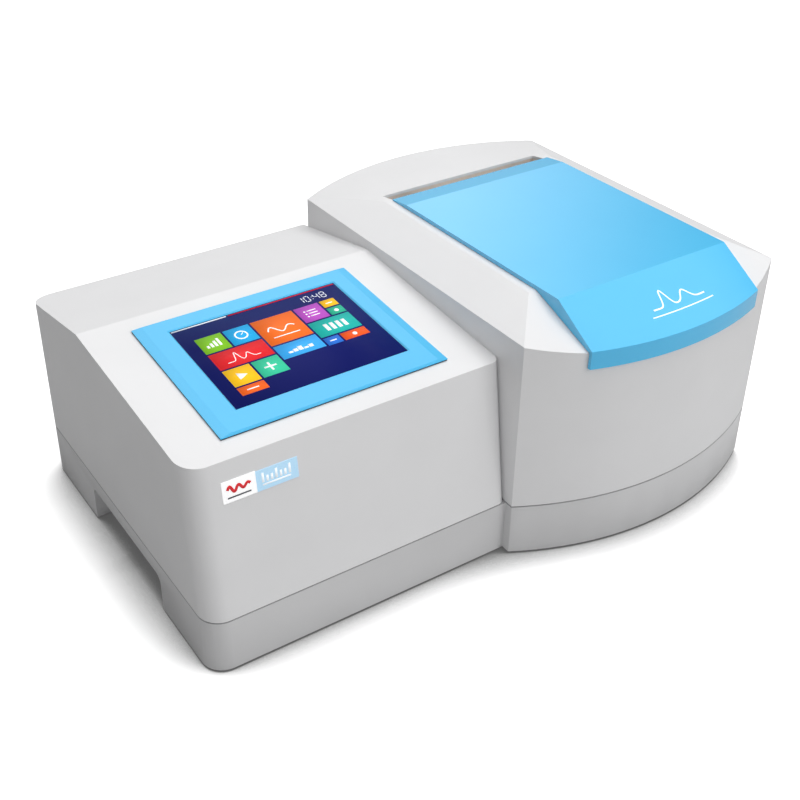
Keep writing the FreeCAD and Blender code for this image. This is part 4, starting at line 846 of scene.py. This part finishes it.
prints = {
    "labelFace": 0.6, "lidFace": 0.03, "red": "#D0252C", "dark": "#4A4C52", "white": "#F4FBFF",
    "wave": {"x": (-267.0, -247.0), "z": 170.4, "height": 3.0, "turns": 2.5, "dying": 0.6, "line": 2.5},
    "rule": (-267.5, 162.9, -247.0, 164.2),
    "scale": {"x": (-236.0, -212.0), "z": 166.2, "ticks": 7, "long": 8.4, "short": 5.2, "line": 2.0},
    "scaleRule": (-236.7, 163.4, -211.3, 164.8),
    "lidSlope": 60.0, "lidCurve": {"x": (128.0, 190.0), "from": 24.0, "height": 15.0, "line": 1.4},
    "lidPeaks": ((1.0, 0.3, 0.07), (0.62, 0.66, 0.1)),  # height, place and width of each, as shares
    "lidRule": {"x": (122.0, 196.0), "from": 18.0, "line": 1.0},
}
d = prints
k = d["wave"]
t = np.linspace(0, 1, 61)
swing = k["height"] * np.sin(t * k["turns"] * 2 * np.pi) * (1 - k["dying"] * t)
wave = np.stack([k["x"][0] + t * (k["x"][1] - k["x"][0]), k["z"] + swing], -1)
groups = [(stroke(wave, k["line"], 0), d["red"]), (bar(*d["rule"], 0), d["dark"])]
k = d["scale"]
for i, x in enumerate(np.linspace(*k["x"], k["ticks"])):
    tall = k["short"] if i % 3 else k["long"]
    groups.append((bar(x - k["line"] / 2, k["z"], x + k["line"] / 2, k["z"] + tall, 0), d["white"]))
groups.append((bar(*d["scaleRule"], 0), d["white"]))


def onWall(curve, h):
    # x and height on the raked front wall, and h out of it
    return points(curve[:, 0], c["frontY"] + rake * (curve[:, 1] - c["seamZ"]) - h, curve[:, 1])


labelPrint = plates("label_print", groups, onWall, d["labelFace"])
place("label_print", labelPrint, printInkPaintedGlow, "housing", ())


def onLidSlope(curve, h):
    # x, and the way up the ruled slope from the bowed lip to the crease in millimetres of its middle
    xa, xb = lid["x"]
    lipY = lid["lipY"] - bow(curve[:, 0] - (xa + xb) / 2, (xb - xa) / 2, lid["lipSag"])
    v = 1 - curve[:, 1] / prints["lidSlope"]
    y = lid["creaseY"] + v * (lipY - lid["creaseY"])
    return points(curve[:, 0], y, lid["topZ"] + v * (lid["lipTopZ"] - lid["topZ"]) + h)


k = d["lidCurve"]
peaks = sum(height * np.exp(-((t - at) / wide) ** 2) for height, at, wide in d["lidPeaks"])
curve = np.stack([k["x"][0] + t * (k["x"][1] - k["x"][0]), k["from"] + k["height"] * peaks], -1)
k = d["lidRule"]
rule = np.stack([np.linspace(*k["x"], 41), np.full(41, k["from"])], -1)
groups = [(stroke(curve, d["lidCurve"]["line"], 0) + stroke(rule, k["line"], 0), d["white"])]
lidPrint = plates("lid_print", groups, onLidSlope, d["lidFace"])
place("lid_print", lidPrint, printInkPaintedGlow, "lid", ())
print("display and prints built")


# studio: floor, world, lamps, camera

studio = {
    "floorHalf": 6.0, "paper": 2.7, "glow": 0.6, "bounceColour": "#CECECE", "mirroredColour": "#BEBEBE",
    "contact": {"reach": 0.09, "from": (0.42, 0.77), "to": (0.12, 1.0)},
    "sky": {"even": 0.385, "fromRight": 0.14, "fromFront": 0.12},
    # from: degrees round from +Y, or the height of a direction; to: how bright the reflected wall is there
    "backdrop": {
        "right": {"from": (37.0, 50.0), "to": (1.4, 0.12)},
        "left": {"from": (-60.0, 10.0), "to": (0.12, 1.0)},
        "foot": {"from": (0.25, 0.36), "to": (0.3, 1.0)},
        "ceiling": {"from": (0.5, 0.7), "to": (0.0, 0.9)}},
    "lamps": {
        "topBox": {"at": (0.3, 0.0, 2.2), "aim": (0, 0, 0), "size": (2.0, 2.0), "power": 29.5},
        "frontBox": {"at": (0.9, -2.1, 1.5), "aim": (0, 0, 0.1), "size": (1.4, 1.4), "power": 13},
    },
}


def rays(tree, *names):
    # 1 for rays of the named kinds, and 0 for the rest
    path = addNode(tree, "ShaderNodeLightPath")
    value = path.outputs[names[0]]
    for name in names[1:]:
        node = addNode(tree, "ShaderNodeMath", {0: value, 1: path.outputs[name]}, operation="MAXIMUM")
        value = node.outputs[0]
    return value


def studioFloor():
    # white paper: the camera sees it white with a close shadow, partly the lamps' own and partly painted from
    # ambient occlusion, and it bounces less light than it shows
    mat, tree, out = startMaterial("paperSweep")[:3]
    k = studio["contact"]
    # painted shadow: the floor darkens where the object hides much of its sky close by
    near = addNode(tree, "ShaderNodeAmbientOcclusion", {"Distance": k["reach"]}, samples=16)
    tone = addNode(tree, "ShaderNodeMapRange", {
        "Value": near.outputs["AO"], "From Min": k["from"][0], "From Max": k["from"][1],
        "To Min": k["to"][0], "To Max": k["to"][1]})
    level = addNode(tree, "ShaderNodeMath", {
        0: tone.outputs["Result"], 1: studio["paper"]}, operation="MULTIPLY")
    lit = addNode(tree, "ShaderNodeBsdfDiffuse", {"Color": level.outputs[0]})
    glow = addNode(tree, "ShaderNodeEmission", {"Color": tone.outputs["Result"], "Strength": 1.0})
    seen = addNode(tree, "ShaderNodeMixShader", {0: studio["glow"], 1: lit.outputs[0], 2: glow.outputs[0]})
    mirrored = addNode(tree, "ShaderNodeBsdfDiffuse", {"Color": linear(studio["mirroredColour"])})
    bounced = addNode(tree, "ShaderNodeBsdfDiffuse", {"Color": linear(studio["bounceColour"])})
    gloss, direct = rays(tree, "Is Glossy Ray", "Is Transmission Ray"), rays(tree, "Is Camera Ray")
    hidden = addNode(tree, "ShaderNodeMixShader", {0: gloss, 1: bounced.outputs[0], 2: mirrored.outputs[0]})
    mixed = addNode(tree, "ShaderNodeMixShader", {0: direct, 1: hidden.outputs[0], 2: seen.outputs[0]})
    tree.links.new(mixed.outputs[0], out.inputs["Surface"])
    mesh = bpy.data.meshes.new("floor")
    r = studio["floorHalf"]
    mesh.from_pydata([(-r, -r, 0), (r, -r, 0), (r, r, 0), (-r, r, 0)], [], [(0, 1, 2, 3)])
    mesh.materials.append(mat)
    floor = bpy.data.objects.new("floor", mesh)
    bpy.context.scene.collection.objects.link(floor)


def studioWorld():
    # soft sky light, a little more from the right and the front; glossy surfaces see a bright wall behind
    # that darkens at its foot and round to the right and the left, under a bright ceiling
    world = bpy.data.worlds.new("studio")
    bpy.context.scene.world = world
    world.use_nodes = True
    tree = world.node_tree
    tree.nodes.clear()
    out = addNode(tree, "ShaderNodeOutputWorld")
    k = studio["backdrop"]
    coords = addNode(tree, "ShaderNodeTexCoord")
    way = addNode(tree, "ShaderNodeSeparateXYZ", {0: coords.outputs["Generated"]})
    turn = addNode(tree, "ShaderNodeMath", {0: way.outputs["X"], 1: way.outputs["Y"]}, operation="ARCTAN2")
    parts = {}
    for part in k:
        byTurn = part in ("right", "left")
        value, scale = (turn.outputs[0], math.pi / 180) if byTurn else (way.outputs["Z"], 1)
        low, high = k[part]["from"]
        parts[part] = addNode(tree, "ShaderNodeMapRange", {
            "Value": value, "From Min": low * scale, "From Max": high * scale,
            "To Min": k[part]["to"][0], "To Max": k[part]["to"][1]})
    sides = addNode(tree, "ShaderNodeMath", {
        0: parts["right"].outputs["Result"], 1: parts["left"].outputs["Result"]}, operation="MULTIPLY")
    bright = addNode(tree, "ShaderNodeMath", {
        0: sides.outputs[0], 1: parts["foot"].outputs["Result"], 2: parts["ceiling"].outputs["Result"]},
        operation="MULTIPLY_ADD")
    sky = studio["sky"]
    across = addNode(tree, "ShaderNodeMath", {
        0: way.outputs["X"], 1: sky["fromRight"], 2: sky["even"]}, operation="MULTIPLY_ADD")
    around = addNode(tree, "ShaderNodeMath", {
        0: way.outputs["Y"], 1: -sky["fromFront"], 2: across.outputs[0]}, operation="MULTIPLY_ADD")
    light, card, white = [addNode(tree, "ShaderNodeBackground", {"Color": (1, 1, 1, 1), "Strength": strength})
                          for strength in (around.outputs[0], bright.outputs[0], 1.0)]
    gloss, direct = rays(tree, "Is Glossy Ray"), rays(tree, "Is Camera Ray", "Is Transmission Ray")
    lit = addNode(tree, "ShaderNodeMixShader", {0: gloss, 1: light.outputs[0], 2: card.outputs[0]})
    mixed = addNode(tree, "ShaderNodeMixShader", {0: direct, 1: lit.outputs[0], 2: white.outputs[0]})
    tree.links.new(mixed.outputs[0], out.inputs["Surface"])


def softbox(name, at, aim, size, power):
    # a rectangular lamp that looks at its aim
    lamp = bpy.data.lights.new(name, "AREA")
    lamp.shape = "RECTANGLE"
    lamp.size, lamp.size_y = size
    lamp.energy = power
    obj = bpy.data.objects.new(name, lamp)
    bpy.context.scene.collection.objects.link(obj)
    obj.visible_glossy = False  # reflections show the bright wall and ceiling alone
    obj.location = at
    obj.rotation_euler = (Vector(aim) - Vector(at)).to_track_quat("-Z", "Y").to_euler()


studioFloor()
studioWorld()
for name, spec in studio["lamps"].items():
    softbox(name, **spec)

view = {
    "place": (-0.57772, -0.82645, 0.74697), "forward": (0.45842, 0.71552, -0.52715), "roll": -0.155,
    "focalPixels": 1212.4, "principal": (361.165, 358.136), "frame": 800, "sensor": 36.0,
}
camData = bpy.data.cameras.new("camera")
camData.sensor_width = view["sensor"]
camData.lens = view["focalPixels"] / view["frame"] * view["sensor"]
camData.shift_x = (view["frame"] / 2 - view["principal"][0]) / view["frame"]
camData.shift_y = (view["principal"][1] - view["frame"] / 2) / view["frame"]
camera = bpy.data.objects.new("camera", camData)
bpy.context.scene.collection.objects.link(camera)
camera.location = view["place"]
turn = Vector(view["forward"]).to_track_quat("-Z", "Y").to_matrix()
camera.rotation_euler = (turn @ Matrix.Rotation(math.radians(view["roll"]), 3, "Z")).to_euler()
bpy.context.scene.camera = camera
bpy.context.scene.view_settings.view_transform = "Standard"
print("studio ready")
